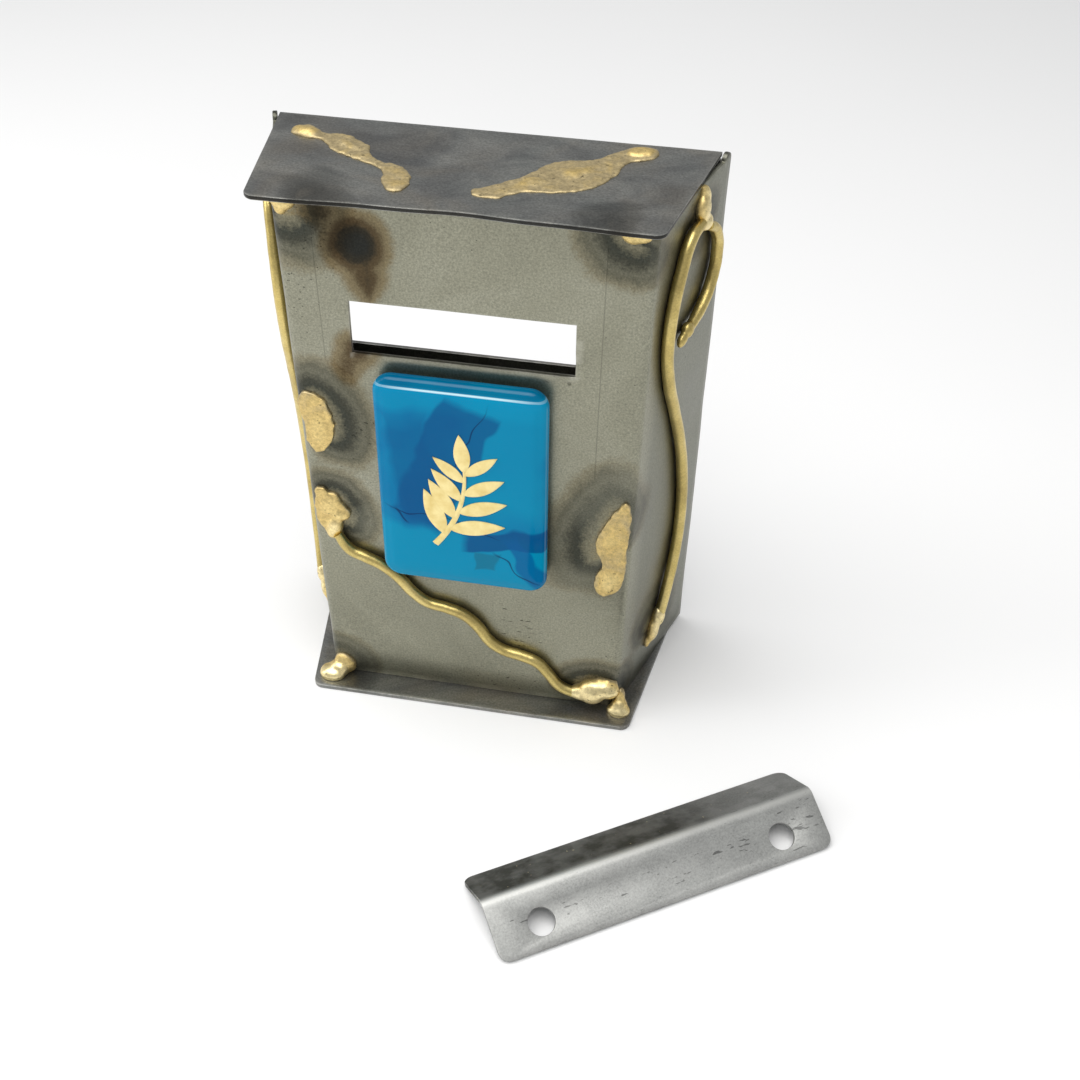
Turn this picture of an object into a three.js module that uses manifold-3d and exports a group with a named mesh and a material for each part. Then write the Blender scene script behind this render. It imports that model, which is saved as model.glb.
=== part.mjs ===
// A hand-made steel donation box with brazed brass ornament, a fused-glass tile and a wall bracket.
// Millimetres, +Z up. X runs to the right, Y to the back, and the origin is the middle of the
// base plate's underside. The body is one folded sheet: a front and two sides that splay backwards.
import * as THREE from "three";
import { mergeVertices } from "three/addons/utils/BufferGeometryUtils.js";
import Module from "manifold-3d";

const wasm = await Module();
wasm.setup();

// Driving dimensions
const SHEET = 1.2; // thickness of the steel sheet
const SEAM = 0.1; // gap between two sheets that meet flat
const BRAZE_GAP = 0.3; // gap between a brass piece and the steel it is brazed to
const BODY_HEIGHT = 155.2; // front and sides, from the base plate to the roof plate
const DEPTH = 43.4; // front face to rear edge of the sides, at the base
const BACK_LEAN = 2.6; // how much less it is at the roof
const FRONT_HALF = 41.9; // half width of the front at the base
const FRONT_FLARE = 3.9; // how much more it is at the roof
const SPLAY = 14.1; // how far each side runs outwards from front to rear, at the base
const REAR_FLARE = 2.2; // how much wider each side's rear edge is at the roof
const BEND_RADIUS = 2.6; // outside radius of the two front bends
const BASE_LIP = 7.7; // base plate in front of the front face
const BASE_SIDE_LIP = 4.8; // and beside its front corners
const BASE_REAR_INSET = 1.9; // base plate inside the sides' rear corners
const BASE_CORNER = 3;
const ROOF_OVERHANG = 3.9; // roof plate in front of the front face
const ROOF_SIDE_OVERHANG = 3.4; // and beside its front corners
const ROOF_REAR_INSET = 2.1; // roof plate inside the sides' rear corners
const ROOF_FRONT_SHIFT = -1.9; // the hand-cut front edge sits a little to the left
const ROOF_CORNER = 2.6;
const ROOF_WAVE = 1.5; // how far the middle of the roof's front edge swings back
const EAR_RISE = 1.7; // rear corners of the sides, above the sides' top edge
const EAR_LENGTH = 3.4;
const FACE_X = -0.7; // middle of the slot and the tile
const SLOT_WIDTH = 56.3;
const SLOT_HEIGHT = 14.9;
const SLOT_BELOW_ROOF = 27;
const BACK_INSET = 0.5; // back panel inside the rear edges of the sides
const OPENING_TOP_RAIL = 29; // back panel above its opening, which hangs on the bracket
const OPENING_SIDE_RAIL = 5.5; // and beside it
const OPENING_HEIGHT = 37;
const OPENING_CORNER = 2;
const TILE_WIDTH = 45;
const TILE_HEIGHT = 65.4;
const TILE_THICKNESS = 5;
const TILE_CORNER = 5;
const TILE_EDGE_ROUND = 1.6;
const TILE_BELOW_SLOT = 2.9;
const GLUE_THICKNESS = 0.8;
const GLUE_MARGIN = 7;
const FOIL_THICKNESS = 0.3;
const ROD_RADIUS = 1.6;
const BRACKET_CLEARANCE = 1.8; // between each end of the bracket and the opening
const BRACKET_FLANGE = 16.1; // each flange, from the ridge to its edge
const BRACKET_ANGLE = 122; // degrees between the flanges
const BRACKET_BEND = 2.6; // outside radius
const BRACKET_CORNER = 3;
const BRACKET_HOLE_RADIUS = 3.6;
const BRACKET_HOLE_END = 13.1; // hole centre from the bracket's end
const BRACKET_HOLE_EDGE = 6.7; // and from the flange's edge
const BRACKET_PLACE = [59.2, -71.2]; // where the loose bracket lies
const BRACKET_TURN = 33.8; // degrees

// Places that follow from them
const BASE_DEPTH = BASE_LIP + DEPTH;
const FRONT_Y = BASE_LIP - BASE_DEPTH / 2; // outer face of the front
const FLOOR_Z = SHEET; // top of the base plate
const BODY_BOTTOM = FLOOR_Z + SEAM;
const ROOF_Z = FLOOR_Z + BODY_HEIGHT; // underside of the roof plate
const BODY_TOP = ROOF_Z - SEAM;
const ROOF_TOP = ROOF_Z + SHEET;
const ROOF_FRONT_Y = FRONT_Y - ROOF_OVERHANG;
const ROOF_REAR_Y = FRONT_Y + DEPTH - BACK_LEAN - BACK_INSET;
const REAR_HALF = FRONT_HALF + SPLAY;
const REAR_HALF_TOP = REAR_HALF + REAR_FLARE;
const SLOT_TOP = ROOF_Z - SLOT_BELOW_ROOF;
const OPENING_TOP = ROOF_Z - OPENING_TOP_RAIL;
const OPENING_BOTTOM = OPENING_TOP - OPENING_HEIGHT;
const TILE_TOP = SLOT_TOP - SLOT_HEIGHT - TILE_BELOW_SLOT;
const TILE_BOTTOM = TILE_TOP - TILE_HEIGHT;
const TILE_Z = TILE_TOP - TILE_HEIGHT / 2;
const TILE_LEFT = FACE_X - TILE_WIDTH / 2;
const GLUE_Y = FRONT_Y - SEAM;
const TILE_Y = GLUE_Y - GLUE_THICKNESS - SEAM; // rear face of the tile
const TILE_FACE = TILE_Y - TILE_THICKNESS;
const ROD_STANDOFF = ROD_RADIUS + BRAZE_GAP;

const steel = { color: 0x6d6a64, roughness: 0.42, metalness: 0.9 };
const darkSteel = { color: 0x3d3c3b, roughness: 0.5, metalness: 0.85 };
const bracketSteel = { color: 0x83868a, roughness: 0.4, metalness: 0.9 };
const brass = { color: 0xb08d3c, roughness: 0.38, metalness: 1 };
const glass = { color: 0x0787ab, roughness: 0.08, metalness: 0 };
const silicone = { color: 0xc9ccd0, roughness: 0.6, metalness: 0 };
const gold = { color: 0xf0dc9a, roughness: 0.4, metalness: 0.6 };

const group = new THREE.Group();

// --- Helpers ---------------------------------------------------------------------------------

const lerp = THREE.MathUtils.lerp;
const radians = THREE.MathUtils.degToRad;

function addNode(name, geometry, look) {
  const mesh = new THREE.Mesh(geometry, new THREE.MeshStandardMaterial(look));
  mesh.name = name;
  group.add(mesh);
  return mesh;
}

function toSolid(geometry) {
  const bare = geometry.clone();
  bare.deleteAttribute("normal");
  bare.deleteAttribute("uv");
  const merged = mergeVertices(bare, 1e-4);
  const mesh = new wasm.Mesh({
    numProp: 3,
    vertProperties: new Float32Array(merged.attributes.position.array),
    triVerts: new Uint32Array(merged.index.array),
  });
  return new wasm.Manifold(mesh);
}

function fromSolid(solid) {
  const mesh = solid.getMesh();
  const geometry = new THREE.BufferGeometry();
  geometry.setAttribute("position", new THREE.BufferAttribute(mesh.vertProperties, 3));
  geometry.setIndex(new THREE.BufferAttribute(mesh.triVerts, 1));
  const faceted = geometry.toNonIndexed();
  faceted.computeVertexNormals();
  return faceted;
}

// A solid through matching rings of points, closed at both ends.
function loft(rings) {
  const count = rings[0].length;
  const positions = rings.flat().flatMap((point) => [point.x, point.y, point.z]);
  const ends = THREE.ShapeUtils.triangulateShape(
    rings[0].map((point) => new THREE.Vector2(point.x, point.y)),
    [],
  );
  const last = (rings.length - 1) * count;
  const index = [];
  for (const [a, b, c] of ends) {
    index.push(c, b, a);
    index.push(last + a, last + b, last + c);
  }
  for (let level = 0; level < rings.length - 1; level++) {
    for (let i = 0; i < count; i++) {
      const a = level * count + i;
      const b = level * count + ((i + 1) % count);
      index.push(a, b, b + count, a, b + count, a + count);
    }
  }
  const geometry = new THREE.BufferGeometry();
  geometry.setAttribute("position", new THREE.Float32BufferAttribute(positions, 3));
  geometry.setIndex(index);
  return geometry;
}

function roundedPolygon(corners, radii) {
  const shape = new THREE.Shape();
  corners.forEach((corner, i) => {
    const before = corners.at(i - 1);
    const after = corners[(i + 1) % corners.length];
    const into = before.clone().sub(corner).setLength(radii[i]).add(corner);
    const out = after.clone().sub(corner).setLength(radii[i]).add(corner);
    if (i === 0) shape.moveTo(into.x, into.y);
    else shape.lineTo(into.x, into.y);
    shape.quadraticCurveTo(corner.x, corner.y, out.x, out.y);
  });
  shape.closePath();
  return shape;
}

function roundedRectangle(width, height, radius) {
  const x = width / 2;
  const y = height / 2;
  const corners = [[-x, -y], [x, -y], [x, y], [-x, y]].map((c) => new THREE.Vector2(...c));
  return roundedPolygon(corners, [radius, radius, radius, radius]);
}

function extrude(shape, depth, curveSegments = 6) {
  return new THREE.ExtrudeGeometry(shape, { depth, curveSegments, bevelEnabled: false });
}

// Stands a plate that was drawn lying down upright, with its rear face at y.
function standUp(geometry, x, y, z) {
  return geometry.rotateX(Math.PI / 2).translate(x, y, z);
}

// --- Body: the folded front and sides ---------------------------------------------------------

const depthAt = (rise) => DEPTH - BACK_LEAN * rise;
const frontHalfAt = (rise) => FRONT_HALF + FRONT_FLARE * rise;
const rearHalfAt = (rise) => lerp(REAR_HALF, REAR_HALF_TOP, rise);
const riseAt = (z) => (z - FLOOR_Z) / BODY_HEIGHT;

// Outward normal of the right side in plan, at a height.
function sideNormal(rise) {
  const splay = rearHalfAt(rise) - frontHalfAt(rise);
  return new THREE.Vector2(depthAt(rise), -splay).normalize();
}

// One half of a plan line at a distance inside the outer face: round the bend, then to the rear.
function halfLine(rise, inside, bendSteps = 5) {
  const normal = sideNormal(rise);
  const centre = new THREE.Vector2(
    frontHalfAt(rise) - (BEND_RADIUS * (1 + normal.y)) / normal.x,
    FRONT_Y + BEND_RADIUS,
  );
  const from = -Math.PI / 2;
  const to = Math.atan2(normal.y, normal.x);
  const points = [];
  for (let i = 0; i <= bendSteps; i++) {
    const angle = lerp(from, to, i / bendSteps);
    const arm = new THREE.Vector2(Math.cos(angle), Math.sin(angle));
    points.push(arm.multiplyScalar(BEND_RADIUS - inside).add(centre));
  }
  points.push(new THREE.Vector2(rearHalfAt(rise) - inside / normal.x, FRONT_Y + depthAt(rise)));
  return points;
}

const mirrored = (points) => points.map((p) => new THREE.Vector2(-p.x, p.y)).reverse();

// The folded sheet between two heights, with a gap round it. A filled one is the inside as well.
function bodySolid(bottom, top, outside = 0, filled = false) {
  const levels = 8;
  const rings = [];
  for (let i = 0; i <= levels; i++) {
    const z = lerp(bottom, top, i / levels);
    const outer = halfLine(riseAt(z), -outside);
    const outline = [...mirrored(outer), ...outer];
    if (!filled) {
      const inner = halfLine(riseAt(z), SHEET + outside);
      outline.push(...[...mirrored(inner), ...inner].reverse());
    }
    rings.push(outline.map((p) => new THREE.Vector3(p.x, p.y, z)));
  }
  return toSolid(loft(rings));
}

function slotCutter() {
  const shape = roundedRectangle(SLOT_WIDTH, SLOT_HEIGHT, 0.6);
  return toSolid(
    standUp(extrude(shape, SHEET * 4), FACE_X, FRONT_Y + SHEET * 3, SLOT_TOP - SLOT_HEIGHT / 2),
  );
}

// Takes the sides down to the roof everywhere but at their rear corners, which it rounds.
function topCutter() {
  const rear = FRONT_Y + DEPTH - BACK_LEAN;
  const far = BODY_HEIGHT;
  const ear = new THREE.Shape();
  ear.moveTo(FRONT_Y - far, 0);
  ear.lineTo(rear - EAR_LENGTH, 0);
  ear.quadraticCurveTo(rear - EAR_LENGTH, EAR_RISE, rear - EAR_LENGTH / 2, EAR_RISE);
  ear.quadraticCurveTo(rear, EAR_RISE, rear + 0.1, -EAR_RISE);
  ear.lineTo(rear + far, -EAR_RISE);
  ear.lineTo(rear + far, far);
  ear.lineTo(FRONT_Y - far, far);
  ear.closePath();
  const geometry = extrude(ear, far * 2);
  // The outline's first axis becomes Y and its second Z.
  geometry.rotateX(Math.PI / 2).rotateZ(Math.PI / 2).translate(-far, 0, BODY_TOP);
  return toSolid(geometry);
}

function bodyWrap() {
  const sheet = bodySolid(BODY_BOTTOM, BODY_TOP + EAR_RISE);
  return fromSolid(sheet.subtract(slotCutter()).subtract(topCutter()));
}

// --- Plates ----------------------------------------------------------------------------------

function basePlate() {
  const y = BASE_DEPTH / 2;
  const frontHalf = FRONT_HALF + BASE_SIDE_LIP;
  const rearHalf = REAR_HALF - BASE_REAR_INSET;
  const corners = [
    [-frontHalf, -y],
    [frontHalf, -y],
    [rearHalf, y],
    [-rearHalf, y],
  ].map((c) => new THREE.Vector2(...c));
  return extrude(roundedPolygon(corners, [BASE_CORNER, BASE_CORNER, 2, 2]), SHEET);
}

function roofOutline(grow = 0) {
  const frontHalf = FRONT_HALF + FRONT_FLARE + ROOF_SIDE_OVERHANG + grow;
  const left = ROOF_FRONT_SHIFT - frontHalf;
  const right = ROOF_FRONT_SHIFT + frontHalf;
  const rear = REAR_HALF_TOP - ROOF_REAR_INSET + grow;
  const front = ROOF_FRONT_Y - grow;
  const back = ROOF_REAR_Y + grow;
  const corner = ROOF_CORNER;
  const shape = new THREE.Shape();
  shape.moveTo(left + corner, front);
  shape.splineThru([
    new THREE.Vector2(lerp(left, right, 0.3), front + ROOF_WAVE * 0.25),
    new THREE.Vector2(lerp(left, right, 0.56), front + ROOF_WAVE),
    new THREE.Vector2(lerp(left, right, 0.8), front + ROOF_WAVE * 0.3),
    new THREE.Vector2(right - corner, front),
  ]);
  shape.quadraticCurveTo(right, front, right + 0.4, front + corner);
  shape.lineTo(rear, back);
  shape.lineTo(-rear, back);
  shape.lineTo(left - 0.3, front + corner);
  shape.quadraticCurveTo(left, front, left + corner, front);
  return shape;
}

// The roof plate lies between the two ears, so it is cut back from the sides' rear corners.
function roofPlate() {
  const plate = toSolid(extrude(roofOutline(), SHEET).translate(0, 0, ROOF_Z));
  const ears = bodySolid(ROOF_Z - SHEET, ROOF_TOP + EAR_RISE, BRAZE_GAP);
  const zoneDepth = 2 * (EAR_LENGTH + BRAZE_GAP);
  const earZone = new THREE.BoxGeometry(REAR_HALF_TOP * 4, zoneDepth, SHEET * 8);
  earZone.translate(0, FRONT_Y + DEPTH - BACK_LEAN, ROOF_Z);
  return fromSolid(plate.subtract(ears.intersect(toSolid(earZone))));
}

// The back panel leans with the sides' rear edges; its outline is drawn along its own slope.
const backSlope = Math.atan2(BACK_LEAN, BODY_HEIGHT);

// Half the room between the two sides at a height, a distance in front of their rear edges.
function innerHalf(z, ahead) {
  const rise = riseAt(z);
  const splay = (rearHalfAt(rise) - frontHalfAt(rise)) / depthAt(rise);
  return rearHalfAt(rise) - splay * ahead - (SHEET + BRAZE_GAP) / sideNormal(rise).x;
}

const openingHalf = innerHalf(OPENING_BOTTOM, BACK_INSET + SHEET + BRAZE_GAP) - OPENING_SIDE_RAIL;
const bracketLength = 2 * (openingHalf - BRACKET_CLEARANCE);
const holeSpacing = bracketLength - 2 * BRACKET_HOLE_END;

function backPanel() {
  const half = (z) => innerHalf(z, BACK_INSET + SHEET + BRAZE_GAP);
  const top = BODY_TOP - SHEET * Math.sin(backSlope) - BRAZE_GAP;
  const bottom = BODY_BOTTOM + SHEET * Math.sin(backSlope);
  const along = (z) => (z - FLOOR_Z) / Math.cos(backSlope);
  const shape = new THREE.Shape();
  shape.moveTo(-half(bottom), along(bottom));
  shape.lineTo(half(bottom), along(bottom));
  shape.lineTo(half(top), along(top));
  shape.lineTo(-half(top), along(top));
  shape.closePath();
  const low = along(OPENING_BOTTOM);
  const high = along(OPENING_TOP);
  const opening = roundedRectangle(2 * openingHalf, high - low, OPENING_CORNER);
  const middle = new THREE.Vector2(0, (low + high) / 2);
  const hole = opening.getPoints(4).map((p) => p.add(middle));
  shape.holes.push(new THREE.Path(hole));
  return extrude(shape, SHEET);
}

function addBackPanel() {
  const panel = addNode("back_panel", backPanel(), darkSteel);
  panel.rotation.x = Math.PI / 2 + backSlope;
  panel.position.set(0, FRONT_Y + DEPTH - BACK_INSET, FLOOR_Z);
}

// --- Glass tile ------------------------------------------------------------------------------

function glassTile() {
  const inset = TILE_EDGE_ROUND;
  const shape = roundedRectangle(TILE_WIDTH - 2 * inset, TILE_HEIGHT - 2 * inset, TILE_CORNER - inset);
  const geometry = new THREE.ExtrudeGeometry(shape, {
    depth: TILE_THICKNESS - 2 * inset,
    bevelThickness: inset,
    bevelSize: inset,
    bevelSegments: 3,
    curveSegments: 5,
  });
  geometry.translate(0, 0, inset);
  return standUp(geometry, FACE_X, TILE_Y, TILE_Z);
}

function gluePad() {
  const shape = roundedRectangle(TILE_WIDTH - 2 * GLUE_MARGIN, TILE_HEIGHT - 2 * GLUE_MARGIN, 4);
  return standUp(extrude(shape, GLUE_THICKNESS), FACE_X, GLUE_Y, TILE_Z);
}

// A leaf from its root, drawn along an angle in degrees.
function leafShape(root, length, width, angle) {
  const turn = radians(angle);
  const place = (along, across) =>
    new THREE.Vector2(along, across).rotateAround(new THREE.Vector2(), turn).add(root);
  const tip = place(length, 0);
  const left = place(length * 0.45, width);
  const right = place(length * 0.45, -width);
  const shape = new THREE.Shape();
  shape.moveTo(root.x, root.y);
  shape.quadraticCurveTo(right.x, right.y, tip.x, tip.y);
  shape.quadraticCurveTo(left.x, left.y, root.x, root.y);
  return shape;
}

// The gold motif: a curved stem with leaves in pairs and one at the tip.
function goldSprig() {
  const height = TILE_HEIGHT * 0.56;
  const stem = new THREE.QuadraticBezierCurve(
    new THREE.Vector2(-height * 0.2, -height * 0.5),
    new THREE.Vector2(height * 0.05, -height * 0.18),
    new THREE.Vector2(height * 0.03, height * 0.22),
  );
  const stemHalf = 0.75;
  const outline = (side) =>
    stem.getPoints(12).map((point, i) => {
      const tangent = stem.getTangent(i / 12);
      const taper = lerp(1.25, 0.6, i / 12);
      return point.add(new THREE.Vector2(-tangent.y, tangent.x).multiplyScalar(side * stemHalf * taper));
    });
  const shapes = [new THREE.Shape([...outline(-1), ...outline(1).reverse()])];
  const pairs = 4;
  for (let i = 0; i < pairs; i++) {
    const place = 0.2 + (i * 0.68) / (pairs - 1);
    const tangent = stem.getTangent(place);
    const heading = THREE.MathUtils.radToDeg(Math.atan2(tangent.y, tangent.x));
    const length = height * lerp(0.43, 0.31, i / (pairs - 1));
    for (const side of [-1, 1]) {
      const root = stem.getPoint(place - 0.04 * side);
      shapes.push(leafShape(root, length, length * 0.34, heading + side * 50));
    }
  }
  shapes.push(leafShape(stem.getPoint(0.95), height * 0.34, height * 0.12, 96));
  const solids = shapes.map((shape) => toSolid(extrude(shape, FOIL_THICKNESS, 8)));
  const joined = fromSolid(solids.reduce((sum, solid) => sum.add(solid)));
  return standUp(joined, FACE_X, TILE_FACE - SEAM, TILE_Z);
}

// --- Brass rods ------------------------------------------------------------------------------

// A point on the outer face of a side, from its share of the side's depth and height.
function sidePoint(side, depthShare, rise, standoff) {
  const x = lerp(frontHalfAt(rise), rearHalfAt(rise), depthShare);
  const y = FRONT_Y + depthShare * depthAt(rise);
  const normal = sideNormal(rise);
  const z = FLOOR_Z + rise * BODY_HEIGHT;
  return new THREE.Vector3(side * (x + normal.x * standoff), y + normal.y * standoff, z);
}

const frontPoint = (x, z, standoff) => new THREE.Vector3(x, FRONT_Y - standoff, z);

// A point on the front, below or left of the tile: the share across runs from -1 at the left
// bend to 0 at the tile's left edge and 1 at the right bend, the share up to 1 at its lower edge.
function frontRodPoint([across, up]) {
  const span = across < 0 ? TILE_LEFT + FRONT_HALF : FRONT_HALF - TILE_LEFT;
  return frontPoint(TILE_LEFT + across * span, lerp(FLOOR_Z, TILE_BOTTOM, up), ROD_STANDOFF);
}

function rod(points, radius = ROD_RADIUS, steps = 38) {
  const section = new THREE.Shape();
  section.absarc(0, 0, radius, 0, Math.PI * 2);
  const path = new THREE.CatmullRomCurve3(points, false, "centripetal");
  return new THREE.ExtrudeGeometry(section, { steps, extrudePath: path, curveSegments: 5 });
}

// The front rod falls in waves from the left edge, round the tile's corner, to the right foot.
const frontRodLine = [
  [-0.73, 1.21],
  [-0.56, 1.1],
  [-0.31, 1.05],
  [-0.07, 1.0],
  [0.045, 0.92],
  [0.105, 0.81],
  [0.17, 0.74],
  [0.25, 0.715],
  [0.325, 0.675],
  [0.385, 0.595],
  [0.44, 0.475],
  [0.5, 0.415],
  [0.58, 0.385],
  [0.65, 0.345],
  [0.7, 0.26],
  [0.75, 0.165],
  [0.815, 0.12],
];

// The side rods swing forwards near the top and backwards lower down: shares of depth and height.
const sideRodLine = [
  [0.535, 0.947],
  [0.39, 0.939],
  [0.29, 0.897],
  [0.215, 0.839],
  [0.195, 0.772],
  [0.26, 0.698],
  [0.385, 0.624],
  [0.535, 0.533],
  [0.64, 0.443],
  [0.695, 0.347],
  [0.68, 0.256],
  [0.605, 0.179],
  [0.495, 0.108],
];

// The hook leaves the rod's top, swings to the back and comes forwards again.
const hookLine = [
  [0.645, 0.928],
  [0.77, 0.903],
  [0.83, 0.856],
  [0.78, 0.807],
  [0.655, 0.776],
  [0.49, 0.759],
];
const hookTip = [0.47, 0.758];

const sideLine = (side, line) => line.map(([depth, rise]) => sidePoint(side, depth, rise, ROD_STANDOFF));

const SIDES = [["right", 1], ["left", -1]];

function addRods() {
  addNode("front_rod", rod(frontRodLine.map(frontRodPoint), ROD_RADIUS, 56), brass);
  for (const [word, side] of SIDES) {
    addNode(`${word}_rod`, rod(sideLine(side, sideRodLine)), brass);
    const hook = toSolid(rod(sideLine(side, hookLine), ROD_RADIUS, 18));
    const tip = bead(sidePoint(side, ...hookTip, ROD_STANDOFF), [4.2, 8.4, 4.4], [0, 0, side * -18]);
    addNode(`${word}_hook`, fromSolid(hook.add(tip).subtract(bodyRoom())), brass);
  }
}

// --- Braze beads -----------------------------------------------------------------------------

// An ellipsoid bead of the given width, depth and height, turned by degrees about X, Y and Z.
function bead(centre, size, turn = [0, 0, 0]) {
  const geometry = new THREE.SphereGeometry(0.5, 14, 10);
  geometry.rotateX(Math.PI / 2);
  geometry.scale(...size);
  const matrix = new THREE.Matrix4().makeRotationFromEuler(new THREE.Euler(...turn.map(radians)));
  geometry.applyMatrix4(matrix);
  geometry.translate(centre.x, centre.y, centre.z);
  return toSolid(geometry);
}

// The space that the body and all that is inside it take up, with the braze gap round it.
function bodyRoom() {
  return bodySolid(-SHEET, ROOF_TOP + BODY_HEIGHT, BRAZE_GAP, true);
}

// The space of the roof plate and all above it.
function roofRoom() {
  return toSolid(extrude(roofOutline(BRAZE_GAP), BODY_HEIGHT).translate(0, 0, ROOF_Z - BRAZE_GAP));
}

// The space of the base plate and all below it.
function baseRoom() {
  const room = new THREE.BoxGeometry(REAR_HALF * 4, DEPTH * 4, BODY_HEIGHT);
  return toSolid(room.translate(0, 0, FLOOR_Z + BRAZE_GAP - BODY_HEIGHT / 2));
}

// The space of a rod with the braze gap round it and past both its ends.
function rodRoom(points) {
  const before = points[0].clone().sub(points[1]).setLength(BRAZE_GAP).add(points[0]);
  const after = points.at(-1).clone().sub(points.at(-2)).setLength(BRAZE_GAP).add(points.at(-1));
  return toSolid(rod([before, ...points, after], ROD_RADIUS + BRAZE_GAP));
}

function addBead(name, solid, rooms) {
  const cut = rooms.reduce((rest, room) => rest.subtract(room), solid);
  addNode(name, fromSolid(cut), brass);
}

// A place on the front face, inside its left (-1) or right (1) bend at a height.
function edgePoint(side, inside, z, standoff) {
  return frontPoint(side * (frontHalfAt(riseAt(z)) - inside), z, standoff);
}

function addFrontBeads() {
  const body = bodyRoom();
  const roof = roofRoom();
  const base = baseRoom();
  const points = frontRodLine.map(frontRodPoint);
  const line = rodRoom(points);
  const leaf = new THREE.Vector3(-2, ROD_STANDOFF, 7).add(points[0]);
  const heel = new THREE.Vector3(5.2, 0.6, 0.2).add(points.at(-1));
  const oval = edgePoint(-1, 3.1, leaf.z + 28.6, -0.6);
  addBead("front_rod_left_braze", bead(leaf, [9, 6, 17], [0, 14, 0]), [body, line]);
  const heelBead = bead(heel, [13, 6.6, 8.4], [0, -12, 0]);
  addBead("front_rod_right_braze", heelBead, [body, line, base]);
  addBead("left_edge_braze", bead(oval, [13, 5.4, 21], [0, -6, 0]), [body]);
  const right = edgePoint(1, 3.4, lerp(FLOOR_Z, ROOF_Z, 0.383), 0);
  addBead("right_edge_braze", bead(right, [10, 5, 33], [0, 4, 0]), [body]);
  addBead("roof_left_braze", bead(edgePoint(-1, 2.1, ROOF_Z - 1.4, 0.2), [7.4, 5, 6.6]), [body, roof]);
  addBead("roof_right_braze", bead(edgePoint(1, 5, ROOF_Z - 1, 0.2), [9, 5.4, 7.4]), [body, roof]);
  addBead("base_left_braze", bead(edgePoint(-1, 1, FLOOR_Z + 2, 2.2), [10, 8, 10]), [body, base]);
  const foot = bead(edgePoint(1, -2.6, FLOOR_Z + 1.8, 0.6), [7.6, 7.4, 9.6]);
  const heelRoom = bead(heel, [13.6, 7.2, 9], [0, -12, 0]);
  addBead("base_right_braze", foot, [body, base, heelRoom]);
}

function addSideBeads() {
  const body = bodyRoom();
  const roof = roofRoom();
  for (const [word, side] of SIDES) {
    const lines = [sideRodLine, hookLine].map((line) => rodRoom(sideLine(side, line)));
    const top = sidePoint(side, 0.59, 1, 1).sub(new THREE.Vector3(0, 0, 5.4));
    addBead(`${word}_rod_top_braze`, bead(top, [5, 7, 11]), [body, roof, ...lines]);
    const foot = bead(sidePoint(side, 0.45, 0.091, 0.8), [4.6, 7, 7], [side * 24, 0, side * -16]);
    addBead(`${word}_rod_foot_braze`, foot, [body, ...lines]);
  }
}

// A flat run of brass on the roof, from its outline in percent of the roof's half width and depth.
function roofRun(outline, thickness) {
  const half = REAR_HALF_TOP - ROOF_REAR_INSET;
  const place = ([across, back]) =>
    new THREE.Vector3((half * across) / 100, lerp(ROOF_FRONT_Y, ROOF_REAR_Y, back / 100), 0);
  const curve = new THREE.CatmullRomCurve3(outline.map(place), true);
  const shape = new THREE.Shape(curve.getPoints(44).slice(0, -1).map((p) => new THREE.Vector2(p.x, p.y)));
  return extrude(shape, thickness).translate(0, 0, ROOF_TOP + SEAM);
}

const leftRunOutline = [
  [-89, 78],
  [-81, 71],
  [-74, 70],
  [-66, 59],
  [-51, 49],
  [-40, 41],
  [-37.5, 28],
  [-30, 18.5],
  [-26, 31],
  [-33, 47],
  [-44.5, 52],
  [-53.5, 70],
  [-65, 78],
  [-74, 78],
  [-83, 86],
];

const rightRunOutline = [
  [1, 26.5],
  [11, 21],
  [21, 30],
  [39, 35],
  [51, 44],
  [58, 60],
  [62, 76],
  [71, 82],
  [73, 92],
  [65, 96],
  [55, 87],
  [46, 75],
  [31, 69],
  [20, 49],
  [8, 35],
];

function addRoofRuns() {
  addNode("roof_left_run", roofRun(leftRunOutline, 1.4), brass);
  addNode("roof_right_run", roofRun(rightRunOutline, 1.6), brass);
}

// Beads inside the rear corners, joining the back panel to the sides.
function addBackBeads() {
  const size = 3;
  const ahead = BACK_INSET + SHEET + BRAZE_GAP;
  for (const [level, z] of [["lower", FLOOR_Z + 8], ["upper", ROOF_Z - 8]]) {
    for (const [word, side] of SIDES) {
      const x = innerHalf(z, ahead + size) - size / 2;
      const y = FRONT_Y + depthAt(riseAt(z)) - ahead - size / 2 - BRAZE_GAP;
      const solid = bead(new THREE.Vector3(side * x, y, z), [size, size, 9]);
      addNode(`back_${level}_${word}_braze`, fromSolid(solid), brass);
    }
  }
}

// --- Wall bracket ----------------------------------------------------------------------------

// The bracket lies on its two flange edges with the ridge up; across is its width.
const flangeSlope = radians((180 - BRACKET_ANGLE) / 2);

function bracketProfile() {
  const apex = BRACKET_FLANGE * Math.sin(flangeSlope) + SHEET * Math.cos(flangeSlope);
  const centreZ = apex - BRACKET_BEND / Math.cos(flangeSlope);
  const reach = BRACKET_FLANGE - BRACKET_BEND * Math.tan(flangeSlope);
  const line = (radius) => {
    const points = [];
    const start = Math.PI / 2 + flangeSlope;
    const tail = new THREE.Vector2(-Math.cos(flangeSlope), -Math.sin(flangeSlope)).multiplyScalar(reach);
    for (let i = 0; i <= 6; i++) {
      const angle = start - (2 * flangeSlope * i) / 6;
      points.push(new THREE.Vector2(Math.cos(angle) * radius, centreZ + Math.sin(angle) * radius));
    }
    points.unshift(points[0].clone().add(tail));
    points.push(points.at(-1).clone().add(new THREE.Vector2(-tail.x, tail.y)));
    return points;
  };
  return new THREE.Shape([...line(BRACKET_BEND).reverse(), ...line(BRACKET_BEND - SHEET)]);
}

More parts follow.
